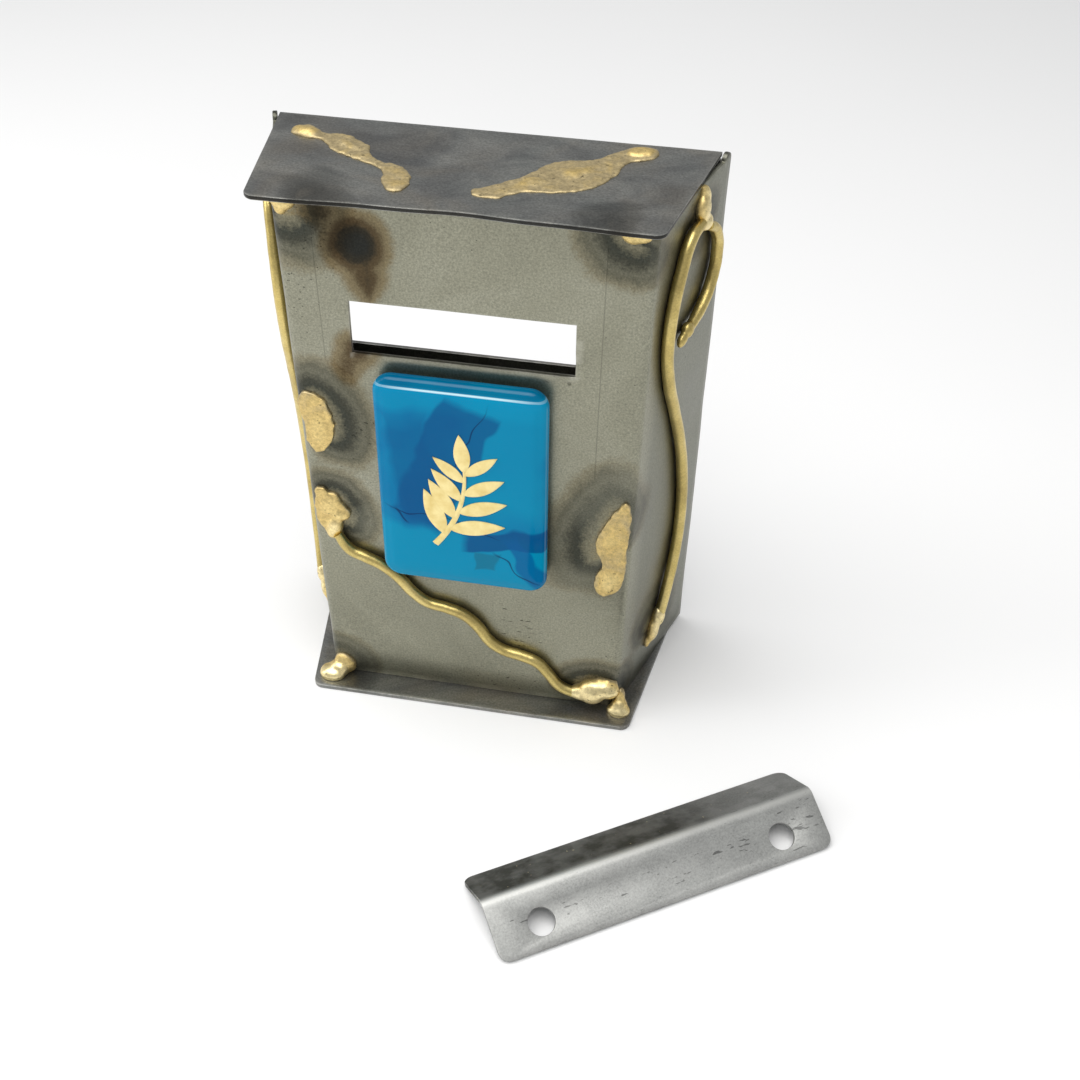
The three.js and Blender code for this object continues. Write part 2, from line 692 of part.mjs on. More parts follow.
// Moves a cutter that was drawn on a flat flange onto the sloping one: 1 is the rear, -1 the front.
function ontoFlange(geometry, side) {
  const apex = BRACKET_FLANGE * Math.sin(flangeSlope) + SHEET * Math.cos(flangeSlope);
  return geometry.rotateX(-side * flangeSlope).translate(0, 0, apex);
}

function cornerCutter(end, side) {
  const r = BRACKET_CORNER;
  const spare = SHEET;
  const shape = new THREE.Shape();
  shape.moveTo(-r, 0);
  shape.quadraticCurveTo(0, 0, 0, -r);
  shape.lineTo(spare, -r);
  shape.lineTo(spare, spare);
  shape.lineTo(-r, spare);
  shape.closePath();
  const geometry = extrude(shape, SHEET * 6).translate(bracketLength / 2, BRACKET_FLANGE, -SHEET * 4);
  const turned = end * side > 0 ? geometry : mirrorX(geometry);
  if (side < 0) turned.rotateZ(Math.PI);
  return toSolid(ontoFlange(turned, side));
}

function mirrorX(geometry) {
  const mirror = toSolid(geometry).mirror([1, 0, 0]);
  return fromSolid(mirror);
}

function holeCutter(end) {
  const geometry = new THREE.CylinderGeometry(BRACKET_HOLE_RADIUS, BRACKET_HOLE_RADIUS, SHEET * 6, 24);
  geometry.rotateX(Math.PI / 2);
  geometry.translate((end * holeSpacing) / 2, BRACKET_HOLE_EDGE - BRACKET_FLANGE, 0);
  return toSolid(ontoFlange(geometry, -1));
}

function bracket() {
  const strip = extrude(bracketProfile(), bracketLength);
  // The profile's first axis becomes Y, its second Z, and the strip runs along X.
  strip.rotateX(Math.PI / 2).rotateZ(Math.PI / 2).translate(-bracketLength / 2, 0, 0);
  let solid = toSolid(strip);
  for (const end of [-1, 1]) {
    solid = solid.subtract(holeCutter(end));
    solid = solid.subtract(cornerCutter(end, 1)).subtract(cornerCutter(end, -1));
  }
  return fromSolid(solid);
}

function addBracket() {
  const mesh = addNode("wall_bracket", bracket(), bracketSteel);
  mesh.rotation.z = radians(BRACKET_TURN);
  mesh.position.set(...BRACKET_PLACE, 0);
}

// --- Assembly --------------------------------------------------------------------------------

addNode("body_wrap", bodyWrap(), steel);
addBackPanel();
addNode("base_plate", basePlate(), darkSteel);
addNode("roof_plate", roofPlate(), darkSteel);
addNode("glass_tile", glassTile(), glass);
addNode("tile_glue", gluePad(), silicone);
addNode("gold_sprig", goldSprig(), gold);
addRods();
addFrontBeads();
addSideBeads();
addRoofRuns();
addBackBeads();
addBracket();

export default group;
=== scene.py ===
"""A small steel donation box with brazed brass work, a fused-glass tile and a loose wall bracket.

Metres, +Z up: X runs to the right, Y to the back, and the origin is the middle of the base sheet's
underside. Sizes are written in millimetres times MM.
"""

from math import atan2, cos, pi, radians, sin, tan

import bmesh
import bpy
import numpy as np
from mathutils import Matrix, Vector


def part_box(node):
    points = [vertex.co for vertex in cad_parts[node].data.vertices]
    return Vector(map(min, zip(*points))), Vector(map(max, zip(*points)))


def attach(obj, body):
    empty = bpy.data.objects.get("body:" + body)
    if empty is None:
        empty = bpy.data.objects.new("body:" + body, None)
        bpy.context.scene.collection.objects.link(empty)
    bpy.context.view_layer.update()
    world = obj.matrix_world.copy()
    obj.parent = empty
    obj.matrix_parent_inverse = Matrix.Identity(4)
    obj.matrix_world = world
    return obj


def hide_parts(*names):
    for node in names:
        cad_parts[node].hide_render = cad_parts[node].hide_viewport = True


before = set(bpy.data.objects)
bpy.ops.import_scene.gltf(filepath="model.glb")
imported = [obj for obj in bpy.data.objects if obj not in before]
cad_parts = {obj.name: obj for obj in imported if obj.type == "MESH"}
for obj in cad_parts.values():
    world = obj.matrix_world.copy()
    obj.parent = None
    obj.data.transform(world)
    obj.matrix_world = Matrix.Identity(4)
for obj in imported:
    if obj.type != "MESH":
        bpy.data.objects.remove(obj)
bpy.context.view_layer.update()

MM = 0.001

# Sizes and places taken from the frame
FRONT_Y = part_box("body_wrap")[0].y
BODY_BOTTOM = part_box("body_wrap")[0].z
FLOOR_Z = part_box("base_plate")[1].z
ROOF_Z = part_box("roof_plate")[0].z
ROOF_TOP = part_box("roof_plate")[1].z
ROOF_FRONT_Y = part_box("roof_plate")[0].y
ROOF_REAR_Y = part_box("roof_plate")[1].y
TILE_LOW, TILE_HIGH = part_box("glass_tile")
GLUE_LOW, GLUE_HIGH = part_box("tile_glue")
EAR_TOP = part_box("body_wrap")[1].z

# Sizes of the sheet work
SHEET = ROOF_TOP - ROOF_Z
SEAM = 0.1 * MM
BODY_TOP = ROOF_Z - SEAM
BODY_HEIGHT = ROOF_Z - FLOOR_Z
DEPTH = 43.4 * MM
BACK_LEAN = 2.6 * MM
FRONT_HALF = 41.9 * MM
FRONT_FLARE = 3.9 * MM
SPLAY = 14.1 * MM
REAR_FLARE = 2.2 * MM
BEND_RADIUS = 2.6 * MM
EAR_LENGTH = 3.4 * MM
FACE_X = -0.7 * MM
SLOT_WIDTH = 56.3 * MM
SLOT_HEIGHT = 14.9 * MM
SLOT_BELOW_ROOF = 27 * MM
BACK_INSET = 0.5 * MM
BACK_GAP = 0.3 * MM  # between the back sheet's edges and the sides
BACK_TOP_GAP = 0.4 * MM
OPENING_TOP_RAIL = 29 * MM
OPENING_SIDE_RAIL = 5.5 * MM
OPENING_HEIGHT = 37 * MM
OPENING_CORNER = 2 * MM
ROOF_SHIFT = -1.9 * MM
ROOF_OVERHANG_SIDE = 3.4 * MM
ROOF_REAR_INSET = 2.1 * MM
ROOF_WAVE = 1.5 * MM
PLATE_CORNER = 3 * MM
PLATE_CORNER_FLATS = 5
BASE_SIDE_LIP = 4.8 * MM
BASE_REAR_INSET = 1.9 * MM
TILE_CORNER = 5 * MM
TILE_EDGE = 1.9 * MM  # width of the full round along the tile's edges
TILE_CROWN = 0.7 * MM  # how far the middle of its face stands proud
GLUE_CORNER = 8 * MM
FOIL = 0.3 * MM  # how far the gold leaf stands proud
SPRIG_HEIGHT = (TILE_HIGH.z - TILE_LOW.z) * 0.56
ROD_RADIUS = 1.6 * MM
ROD_STANDOFF = 1.62 * MM  # a rod's middle, off the steel it lies on
BRACKET_LENGTH = 95.5 * MM
BRACKET_FLANGE = 16.1 * MM
BRACKET_SLOPE = radians(29)
BRACKET_BEND = 2.6 * MM
BRACKET_CORNER = 3 * MM
BRACKET_HOLE_RADIUS = 3.6 * MM
BRACKET_HOLE_END = 13.1 * MM
BRACKET_HOLE_EDGE = 6.7 * MM
BRACKET_PLACE = Vector((59.2 * MM, -71.2 * MM, 0))
BRACKET_TURN = radians(33.8)
BRASS_BITE = 0.2 * MM  # how far brass is left in the steel that it is brazed to
THICK_BRASS = 3.2 * MM  # brass this thick stays bright

SLOT_TOP = ROOF_Z - SLOT_BELOW_ROOF
SLOT_BOTTOM = SLOT_TOP - SLOT_HEIGHT
SLOT_LEFT = FACE_X - SLOT_WIDTH / 2
SLOT_RIGHT = FACE_X + SLOT_WIDTH / 2
TILE_LEFT = TILE_LOW.x
TILE_MIDDLE = (TILE_LOW + TILE_HIGH) / 2
REAR_HALF = FRONT_HALF + SPLAY
BACK_SLOPE = atan2(BACK_LEAN, BODY_HEIGHT)
SIDES = {"right": 1, "left": -1}


# --- Hand tools -------------------------------------------------------------------------------

def clear_bench():
    """Object mode, with nothing selected."""
    if bpy.context.mode != "OBJECT":
        bpy.ops.object.mode_set(mode="OBJECT")
    bpy.ops.object.select_all(action="DESELECT")


def take(piece):
    clear_bench()
    piece.select_set(True)
    bpy.context.view_layer.objects.active = piece
    return piece


def name_it(name):
    piece = bpy.context.active_object
    piece.name = name
    piece.data.name = name
    return piece


def settle(piece):
    """Puts the piece's place, turn and scale into its mesh."""
    take(piece)
    bpy.ops.object.transform_apply(location=True, rotation=True, scale=True)
    return piece


def blank(name, primitive, centre, size, **turn):
    """Adds a primitive at its place and brings it to size."""
    clear_bench()
    primitive(size=1, location=centre, **turn)
    piece = name_it(name)
    piece.scale = size
    return settle(piece)


def plane_blank(name, centre, size, **turn):
    return blank(name, bpy.ops.mesh.primitive_plane_add, centre, (*size, 1), **turn)


def cube_blank(name, centre, size):
    return blank(name, bpy.ops.mesh.primitive_cube_add, centre, size)


def middle(part):
    """The middle of a vertex, an edge or a face."""
    if isinstance(part, bmesh.types.BMVert):
        return part.co
    if isinstance(part, bmesh.types.BMEdge):
        return (part.verts[0].co + part.verts[1].co) / 2
    return part.calc_center_median()


def mark(piece, kind, chosen):
    """Opens the piece for editing, with only the VERT, EDGE or FACE parts chosen selected."""
    take(piece)
    bpy.ops.object.mode_set(mode="EDIT")
    bpy.ops.mesh.select_mode(type=kind)
    bpy.ops.mesh.select_all(action="DESELECT")
    shape = bmesh.from_edit_mesh(piece.data)
    for part in {"VERT": shape.verts, "EDGE": shape.edges, "FACE": shape.faces}[kind]:
        if chosen(part):
            part.select_set(True)
    bmesh.update_edit_mesh(piece.data)


def everything(part):
    return True


def cut(piece, point, normal, where=everything, **clear):
    """Scores the piece along a plane. clear_outer=True throws away what is past it."""
    mark(piece, "FACE", where)
    bpy.ops.mesh.bisect(plane_co=point, plane_no=normal, **clear)
    clear_bench()


def pull(way):
    """Extrudes the selected edges."""
    bpy.ops.mesh.extrude_edges_move(TRANSFORM_OT_translate={"value": way})


def face_out(piece):
    mark(piece, "FACE", everything)
    bpy.ops.mesh.remove_doubles(threshold=0.001 * MM)
    bpy.ops.mesh.normals_make_consistent(inside=False)
    clear_bench()


def apply_tool(piece, kind, **settings):
    """Adds a modifier and applies it."""
    take(piece)
    bpy.ops.object.modifier_add(type=kind)
    modifier = piece.modifiers[-1]
    for key, value in settings.items():
        setattr(modifier, key, value)
    bpy.ops.object.modifier_apply(modifier=modifier.name)
    return piece


def dent(piece, size, height, way="NORMAL"):
    """Makes the surface a little uneven: bumps of that size, standing up to half that height."""
    texture = bpy.data.textures.new(f"{piece.name}_dents", "CLOUDS")
    texture.noise_scale = size
    return apply_tool(
        piece, "DISPLACE", texture=texture, strength=height, mid_level=0.5, direction=way
    )


def thicken(piece):
    return apply_tool(piece, "SOLIDIFY", thickness=SHEET, offset=-1, use_even_offset=True)


def break_edges(piece, width=0.16 * MM, angle=50):
    return apply_tool(
        piece, "BEVEL", width=width, segments=2, limit_method="ANGLE",
        angle_limit=radians(angle), use_clamp_overlap=False,
    )


def smooth(piece, angle=35):
    take(piece)
    bpy.ops.object.shade_smooth_by_angle(angle=radians(angle))
    return piece


def work_sheet(sheet, *dents):
    """Dents a bare sheet by (size, height) in millimetres, thickens it and breaks its edges."""
    for size, height in dents:
        dent(sheet, size * MM, height * MM)
    thicken(sheet)
    break_edges(sheet)
    return smooth(sheet)


def carve(piece, cutter, keep=False):
    """Cuts the cutter's shape out of the piece."""
    apply_tool(piece, "BOOLEAN", operation="DIFFERENCE", object=cutter, solver="EXACT")
    if not keep:
        bpy.data.objects.remove(cutter)
    return piece


def weld(pieces, name):
    take(pieces[0])
    for piece in pieces:
        piece.select_set(True)
    bpy.ops.object.join()
    return name_it(name)


# --- Lines of the box -------------------------------------------------------------------------

def lerp(a, b, share):
    return a + (b - a) * share


def rise_at(z):
    return (z - FLOOR_Z) / BODY_HEIGHT


def depth_at(rise):
    return DEPTH - BACK_LEAN * rise


def front_half_at(rise):
    return FRONT_HALF + FRONT_FLARE * rise


def rear_half_at(rise):
    return REAR_HALF + REAR_FLARE * rise


def side_normal(side, rise):
    splay = rear_half_at(rise) - front_half_at(rise)
    return Vector((side * depth_at(rise), -splay, 0)).normalized()


def on_side(side, depth_share, rise, out):
    """A point off the outer face of a side, from its share of the side's depth and height."""
    x = lerp(front_half_at(rise), rear_half_at(rise), depth_share)
    y = FRONT_Y + depth_share * depth_at(rise)
    return Vector((side * x, y, FLOOR_Z + rise * BODY_HEIGHT)) + side_normal(side, rise) * out


def on_front(x, z, out):
    return Vector((x, FRONT_Y - out, z))


def near_edge(side, inside, z, out):
    """A point off the front, inside its left or right bend at a height."""
    return on_front(side * (front_half_at(rise_at(z)) - inside), z, out)


def inner_half(z, ahead):
    """Half the room between the sides at a height, a distance in front of their rear edges."""
    rise = rise_at(z)
    splay = (rear_half_at(rise) - front_half_at(rise)) / depth_at(rise)
    return rear_half_at(rise) - splay * ahead - SHEET / side_normal(1, rise).x - BACK_GAP


# --- Sheet work -------------------------------------------------------------------------------

def folded_sheet(name):
    """The front and sides as one bare surface, folded with round bends."""
    sheet = plane_blank(
        name, (0, FRONT_Y, (BODY_BOTTOM + BODY_TOP) / 2),
        (2 * FRONT_HALF, BODY_TOP - BODY_BOTTOM), rotation=(pi / 2, 0, 0),
    )
    mark(sheet, "VERT", lambda v: v.co.z > ROOF_Z / 2)
    flare = (FRONT_HALF + FRONT_FLARE) / FRONT_HALF
    bpy.ops.transform.resize(value=(flare, 1, 1), center_override=(0, FRONT_Y, BODY_TOP))
    for side in SIDES.values():
        mark(sheet, "EDGE", lambda e: middle(e).x * side > FRONT_HALF and middle(e).y < 0)
        pull((side * SPLAY, DEPTH, 0))
        mark(sheet, "VERT", lambda v: v.co.x * side > 0 and v.co.y > 0 and v.co.z > ROOF_Z / 2)
        bpy.ops.transform.translate(value=(side * (REAR_FLARE - FRONT_FLARE), -BACK_LEAN, 0))
    mark(sheet, "EDGE", lambda e: middle(e).y < 0 and abs(middle(e).x) > FRONT_HALF
         and abs(e.verts[0].co.y - e.verts[1].co.y) < SEAM)
    turn = pi / 2 - atan2(SPLAY, DEPTH)
    tangent = BEND_RADIUS * tan(turn / 2)
    bpy.ops.mesh.bevel(offset=tangent, offset_type="OFFSET", segments=7, affect="EDGES")
    clear_bench()
    return sheet


def upright(edge):
    a, b = (v.co for v in edge.verts)
    return abs(a.z - b.z) > 0.9 * (a - b).length


def in_slot(face, spare=0.0):
    at = middle(face)
    across = SLOT_LEFT - spare < at.x < SLOT_RIGHT + spare
    return at.y < FRONT_Y + SEAM and across and SLOT_BOTTOM - spare < at.z < SLOT_TOP + spare


def near_slot(face):
    return in_slot(face, 4 * MM)


def folded_body():
    body = folded_sheet("folded_body")
    mark(body, "EDGE", upright)
    bpy.ops.mesh.subdivide(number_cuts=70)
    for longer_than, cuts in ((60 * MM, 38), (30 * MM, 19)):
        mark(body, "EDGE", lambda e: not upright(e) and e.calc_length() > longer_than)
        bpy.ops.mesh.subdivide(number_cuts=cuts)
    for x in (SLOT_LEFT, SLOT_RIGHT):
        cut(body, (x, 0, 0), (1, 0, 0), near_slot)
    for z in (SLOT_BOTTOM, SLOT_TOP):
        cut(body, (0, 0, z), (0, 0, 1), near_slot)
    mark(body, "FACE", in_slot)
    bpy.ops.mesh.delete(type="FACE")
    raise_ears(body)
    return work_sheet(body, (38, 0.5), (9, 0.12))


def raise_ears(body):
    """The rear corners of the sides stand a little above the roof sheet, filed round."""
    rear = FRONT_Y + DEPTH - BACK_LEAN
    front = rear - EAR_LENGTH
    rise = EAR_TOP - BODY_TOP
    cut(body, (0, front, 0), (0, 1, 0), lambda f: middle(f).z > BODY_TOP - 6 * MM)
    mark(body, "EDGE", lambda e: middle(e).y > front and e.is_boundary
         and middle(e).z > BODY_TOP - SEAM)
    pull((0, 0, rise))
    for angle in (radians(20), radians(45), radians(70)):
        for edge, way in ((rear, 1), (front, -1)):
            normal = Vector((0, way * sin(angle), cos(angle)))
            centre = Vector((0, edge - way * rise, BODY_TOP))
            cut(body, centre + normal * rise, normal, lambda f: middle(f).z > BODY_TOP,
                clear_outer=True)


def plate_sheet(name, front, rear, front_half, rear_half, top, shift=0.0):
    """A flat sheet, wider at the rear, with round front corners; shift moves its front edge."""
    plate = plane_blank(name, (0, (front + rear) / 2, top), (2 * front_half, rear - front))
    mark(plate, "VERT", lambda v: v.co.y > (front + rear) / 2)
    bpy.ops.transform.resize(value=(rear_half / front_half, 1, 1), center_override=(0, rear, top))
    mark(plate, "VERT", lambda v: v.co.y < (front + rear) / 2)
    bpy.ops.transform.translate(value=(shift, 0, 0))
    mark(plate, "FACE", everything)
    bpy.ops.mesh.subdivide(number_cuts=44)
    clear_bench()
    for side in SIDES.values():
        corner = Vector((shift + side * front_half, front, 0))
        back = Vector((side * rear_half, rear, 0)) - corner
        round_corner(plate, corner, Vector((-side, 0, 0)), back.normalized())
    return plate


def round_corner(plate, corner, along, back):
    """Files a corner round, with flats that follow an arc between its two edges."""
    half = along.angle(back) / 2
    centre = corner + (along + back).normalized() * PLATE_CORNER / sin(half)
    first = (along.dot(back) * along - back).normalized()
    last = (along.dot(back) * back - along).normalized()
    for step in range(1, PLATE_CORNER_FLATS):
        normal = first.slerp(last, step / PLATE_CORNER_FLATS)
        cut(plate, centre + normal * PLATE_CORNER, normal, clear_outer=True)


def roof_sheet():
    front_half = FRONT_HALF + FRONT_FLARE + ROOF_OVERHANG_SIDE
    rear_half = REAR_HALF + REAR_FLARE - ROOF_REAR_INSET
    roof = plate_sheet(
        "roof_sheet", ROOF_FRONT_Y, ROOF_REAR_Y, front_half, rear_half, ROOF_TOP, ROOF_SHIFT
    )
    wave_front_edge(roof, front_half)
    return work_sheet(roof, (26, 0.24))


def wave_front_edge(roof, front_half):
    """The hand-cut front edge swings back near its middle and less so beside it."""
    fade = 14 * MM
    for vertex in roof.data.vertices:
        share = (vertex.co.x - ROOF_SHIFT) / front_half
        near = max(0, 1 - (vertex.co.y - ROOF_FRONT_Y) / fade)
        wave = cos(share * pi / 2) ** 2 + 0.16 * sin(share * 11 + 1) * (1 - share * share)
        vertex.co.y += ROOF_WAVE * wave * near * near


def base_sheet():
    low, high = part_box("base_plate")
    front_half = FRONT_HALF + BASE_SIDE_LIP
    rear_half = REAR_HALF - BASE_REAR_INSET
    base = plate_sheet("base_sheet", low.y, high.y, front_half, rear_half, FLOOR_Z)
    return work_sheet(base, (22, 0.16))


def back_sheet():
    """The rear wall, leaning in with the sides, with the opening that hangs on the bracket."""
    ahead = BACK_INSET + SHEET + BACK_GAP
    low, high = BODY_BOTTOM, BODY_TOP - BACK_TOP_GAP
    low_half, high_half = inner_half(low, ahead), inner_half(high, ahead)
    back = plane_blank(
        "back_sheet", (0, 0, (low + high) / 2),
        (2 * low_half, (high - low) / cos(BACK_SLOPE)), rotation=(-pi / 2, 0, 0),
    )
    mark(back, "VERT", lambda v: v.co.z > ROOF_Z / 2)
    bpy.ops.transform.resize(value=(high_half / low_half, 1, 1), center_override=(0, 0, high))
    clear_bench()
    thicken(back)
    top = ROOF_Z - OPENING_TOP_RAIL
    half = inner_half(top - OPENING_HEIGHT, ahead) - OPENING_SIDE_RAIL
    cutter = cube_blank(
        "opening", (0, 0, top - OPENING_HEIGHT / 2), (2 * half, 12 * SHEET, OPENING_HEIGHT)
    )
    mark(cutter, "EDGE", lambda e: abs(middle(e).y) < SEAM)
    bpy.ops.mesh.bevel(offset=OPENING_CORNER, segments=5, affect="EDGES")
    clear_bench()
    carve(back, cutter)
    break_edges(back)
    back.rotation_euler.x = BACK_SLOPE
    back.location = (0, FRONT_Y + DEPTH - BACK_INSET, FLOOR_Z)
    back.data.transform(Matrix.Translation((0, 0, -FLOOR_Z)))
    settle(back)
    return smooth(back)


def hanging_bracket():
    """A folded strip with two screw holes that lies on its flange edges, ridge up."""
    apex = BRACKET_FLANGE * sin(BRACKET_SLOPE) + SHEET * cos(BRACKET_SLOPE)
    ridge = (0, 0, apex)
    strip = plane_blank("hanging_bracket", ridge, (BRACKET_LENGTH, 2 * BRACKET_FLANGE))
    mark(strip, "VERT", everything)
    bpy.ops.mesh.bevel(offset=BRACKET_CORNER, segments=7, affect="VERTICES")
    cut(strip, ridge, (0, 1, 0))
    for way in (-1, 1):
        mark(strip, "VERT", lambda v: v.co.y * way > SEAM)
        bpy.ops.transform.rotate(value=way * BRACKET_SLOPE, orient_axis="X", center_override=ridge)
    mark(strip, "EDGE", lambda e: abs(middle(e).y) < SEAM)
    tangent = BRACKET_BEND * tan(BRACKET_SLOPE)
    bpy.ops.mesh.bevel(offset=tangent, offset_type="OFFSET", segments=10, affect="EDGES")
    clear_bench()
    thicken(strip)
    face_out(strip)
    down = BRACKET_FLANGE - BRACKET_HOLE_EDGE
    for end in (-1, 1):
        clear_bench()
        place = (
            end * (BRACKET_LENGTH / 2 - BRACKET_HOLE_END),
            -down * cos(BRACKET_SLOPE),
            apex - down * sin(BRACKET_SLOPE),
        )
        bpy.ops.mesh.primitive_cylinder_add(
            vertices=56, radius=BRACKET_HOLE_RADIUS, depth=8 * SHEET, location=place,
            rotation=(BRACKET_SLOPE, 0, 0),
        )
        carve(strip, name_it("drill"))
    break_edges(strip, 0.2 * MM)
    strip.location = BRACKET_PLACE
    strip.rotation_euler.z = BRACKET_TURN
    settle(strip)
    return smooth(strip)


# --- Glass tile -------------------------------------------------------------------------------

def fused_tile():
    """A slab of fused glass with round corners, full round edges and a softly crowned face."""
    crown = Vector((0, TILE_CROWN, 0))
    tile = cube_blank("fused_tile", TILE_MIDDLE + crown / 2, TILE_HIGH - TILE_LOW - crown)
    face = TILE_LOW.y + TILE_CROWN
    mark(tile, "EDGE", lambda e: face + SEAM < middle(e).y < TILE_HIGH.y - SEAM)
    bpy.ops.mesh.bevel(offset=TILE_CORNER, segments=12, affect="EDGES")
    mark(tile, "FACE", lambda f: abs(f.normal.y) > 0.99)
    bpy.ops.mesh.region_to_loop()
    bpy.ops.mesh.bevel(offset=TILE_EDGE, segments=7, affect="EDGES")
    mark(tile, "FACE", lambda f: f.normal.y < -0.99 and f.calc_area() > (20 * MM) ** 2)
    left = TILE_CROWN
    for share in (0.965, 0.95, 0.93, 0.9, 0.84, 0.7):
        lift = {"value": (0, -left * 0.42, 0)}
        bpy.ops.mesh.extrude_region_move(TRANSFORM_OT_translate=lift)
        narrower = (share, 1, 1 - (1 - share) * 0.75)
        bpy.ops.transform.resize(value=narrower, center_override=TILE_MIDDLE)
        left *= 0.58
    clear_bench()
    return smooth(tile, 50)


def glue_pad():
    """The clear adhesive behind the tile, squeezed out into a soft rounded pad."""
    centre = (GLUE_LOW + GLUE_HIGH) / 2
    pad = cube_blank("glue_pad", centre, GLUE_HIGH - GLUE_LOW)
    mark(pad, "EDGE", lambda e: abs(middle(e).y - centre.y) < SEAM)
    bpy.ops.mesh.bevel(offset=GLUE_CORNER, segments=8, affect="EDGES")
    mark(pad, "EDGE", lambda e: e.verts[0].co.y == e.verts[1].co.y and e.calc_face_angle(0) > 1)
    bpy.ops.mesh.bevel(offset=0.35 * MM, segments=4, affect="EDGES")
    clear_bench()
    return smooth(pad)


def foil_strip(name, steps):
    clear_bench()
    bpy.ops.mesh.primitive_grid_add(x_subdivisions=steps, y_subdivisions=4, size=1)
    return name_it(name)


def gilt_leaf(root, length, width, heading):
    """A pointed leaf of gold leaf with its midrib a little proud, lying on the tile's face."""
    leaf = foil_strip("leaf", 12)
    for vertex in leaf.data.vertices:
        along = vertex.co.x + 0.5
        half = sin(pi * along ** 0.85) ** 0.9 * width / 2 + 0.02 * MM
        crown = 1 - abs(2 * vertex.co.y)
        vertex.co = (along * length, vertex.co.y * 2 * half, FOIL * (0.5 + 0.5 * crown))
    apply_tool(leaf, "SOLIDIFY", thickness=0.5 * FOIL, offset=-1)
    leaf.rotation_euler.z = heading
    leaf.location = root
    return settle(leaf)


def gilt_sprig():
    """The gold motif: a curved stem with leaves in pairs and one at the tip."""
    height = SPRIG_HEIGHT
    start = Vector((-0.2, -0.5, 0)) * height
    bow = Vector((0.05, -0.18, 0)) * height
    tip = Vector((0.03, 0.22, 0)) * height

    def stem_point(share):
        return start * (1 - share) ** 2 + bow * 2 * share * (1 - share) + tip * share ** 2

    def stem_heading(share):
        step = stem_point(min(1, share + 0.01)) - stem_point(max(0, share - 0.01))
        return atan2(step.y, step.x)

    stem = foil_strip("stem", 24)
    for vertex in stem.data.vertices:
        share = vertex.co.x + 0.5
        turn = stem_heading(share) + pi / 2
        off = vertex.co.y * 2 * 0.75 * MM * lerp(1.25, 0.5, share)
        crown = FOIL * (1 - abs(vertex.co.y))
        vertex.co = stem_point(share) + Vector((cos(turn) * off, sin(turn) * off, crown))
    apply_tool(stem, "SOLIDIFY", thickness=0.5 * FOIL, offset=-1)
    parts = [stem]
    pairs = 4
    for i in range(pairs):
        share = 0.2 + i * 0.68 / (pairs - 1)
        length = height * lerp(0.42, 0.3, i / (pairs - 1))
        for side in (-1, 1):
            root = stem_point(share - 0.04 * side)
            heading = stem_heading(share) + side * radians(50)
            parts.append(gilt_leaf(root, length, length * 0.32, heading))
    parts.append(gilt_leaf(stem_point(0.95), height * 0.33, height * 0.115, radians(96)))
    sprig = weld(parts, "gilt_sprig")
    sprig.rotation_euler.x = pi / 2
    sprig.location = (FACE_X, TILE_LOW.y + 0.02 * MM, (TILE_LOW.z + TILE_HIGH.z) / 2)
    settle(sprig)
    face_out(sprig)
    return smooth(sprig, 40)


# --- Brass rods -------------------------------------------------------------------------------

def front_rod_point(across, up):
    """A point of the front rod: shares of the way to the bends and of the height to the tile."""
    room = TILE_LEFT + FRONT_HALF if across < 0 else FRONT_HALF - TILE_LEFT
    return on_front(TILE_LEFT + across * room, lerp(FLOOR_Z, TILE_LOW.z, up), ROD_STANDOFF)


# Falls in waves from the left edge, round the tile's corner, to the right foot
FRONT_ROD_LINE = [
    (-0.73, 1.21), (-0.56, 1.1), (-0.31, 1.05), (-0.07, 1.0), (0.045, 0.92), (0.105, 0.81),
    (0.17, 0.74), (0.25, 0.715), (0.325, 0.675), (0.385, 0.595), (0.44, 0.475), (0.5, 0.415),
    (0.58, 0.385), (0.65, 0.345), (0.7, 0.26), (0.75, 0.165), (0.815, 0.12),
]

# Swings forwards near the top and backwards lower down: shares of the side's depth and height
SIDE_ROD_LINE = [
    (0.535, 0.947), (0.39, 0.939), (0.29, 0.897), (0.215, 0.839), (0.195, 0.772), (0.26, 0.698),
    (0.385, 0.624), (0.535, 0.533), (0.64, 0.443), (0.695, 0.347), (0.68, 0.256), (0.605, 0.179),
    (0.495, 0.108),
]

# Leaves the side rod's top, swings to the back and comes forwards again
HOOK_LINE = [
    (0.645, 0.928), (0.77, 0.903), (0.83, 0.856), (0.78, 0.807), (0.655, 0.776), (0.49, 0.759),
]

FRONT_ROD_POINTS = [front_rod_point(*share) for share in FRONT_ROD_LINE]


def side_points(side, line):
    return [on_side(side, depth, rise, ROD_STANDOFF) for depth, rise in line]


def bend_rod(name, points, slim=()):
    """A brass rod bent by hand through the points; slim gives (point, girth) where it thins."""
    clear_bench()
    bpy.ops.curve.primitive_bezier_curve_add()
    rod = name_it(name)
    line = rod.data.splines[0]
    line.bezier_points.add(len(points) - 2)
    for knot, point in zip(line.bezier_points, points):
        knot.co = point
        knot.handle_left_type = knot.handle_right_type = "AUTO"
    for index, girth in slim:
        line.bezier_points[index].radius = girth
    rod.data.dimensions = "3D"
    rod.data.resolution_u = 10
    rod.data.bevel_depth = ROD_RADIUS
    rod.data.bevel_resolution = 6
    rod.data.use_fill_caps = True
    bpy.ops.object.convert(target="MESH")
    rod = settle(name_it(name))
    face_out(rod)
    dent(rod, 5 * MM, 0.14 * MM)
    return smooth(rod, 45)


# --- Melted brass -----------------------------------------------------------------------------

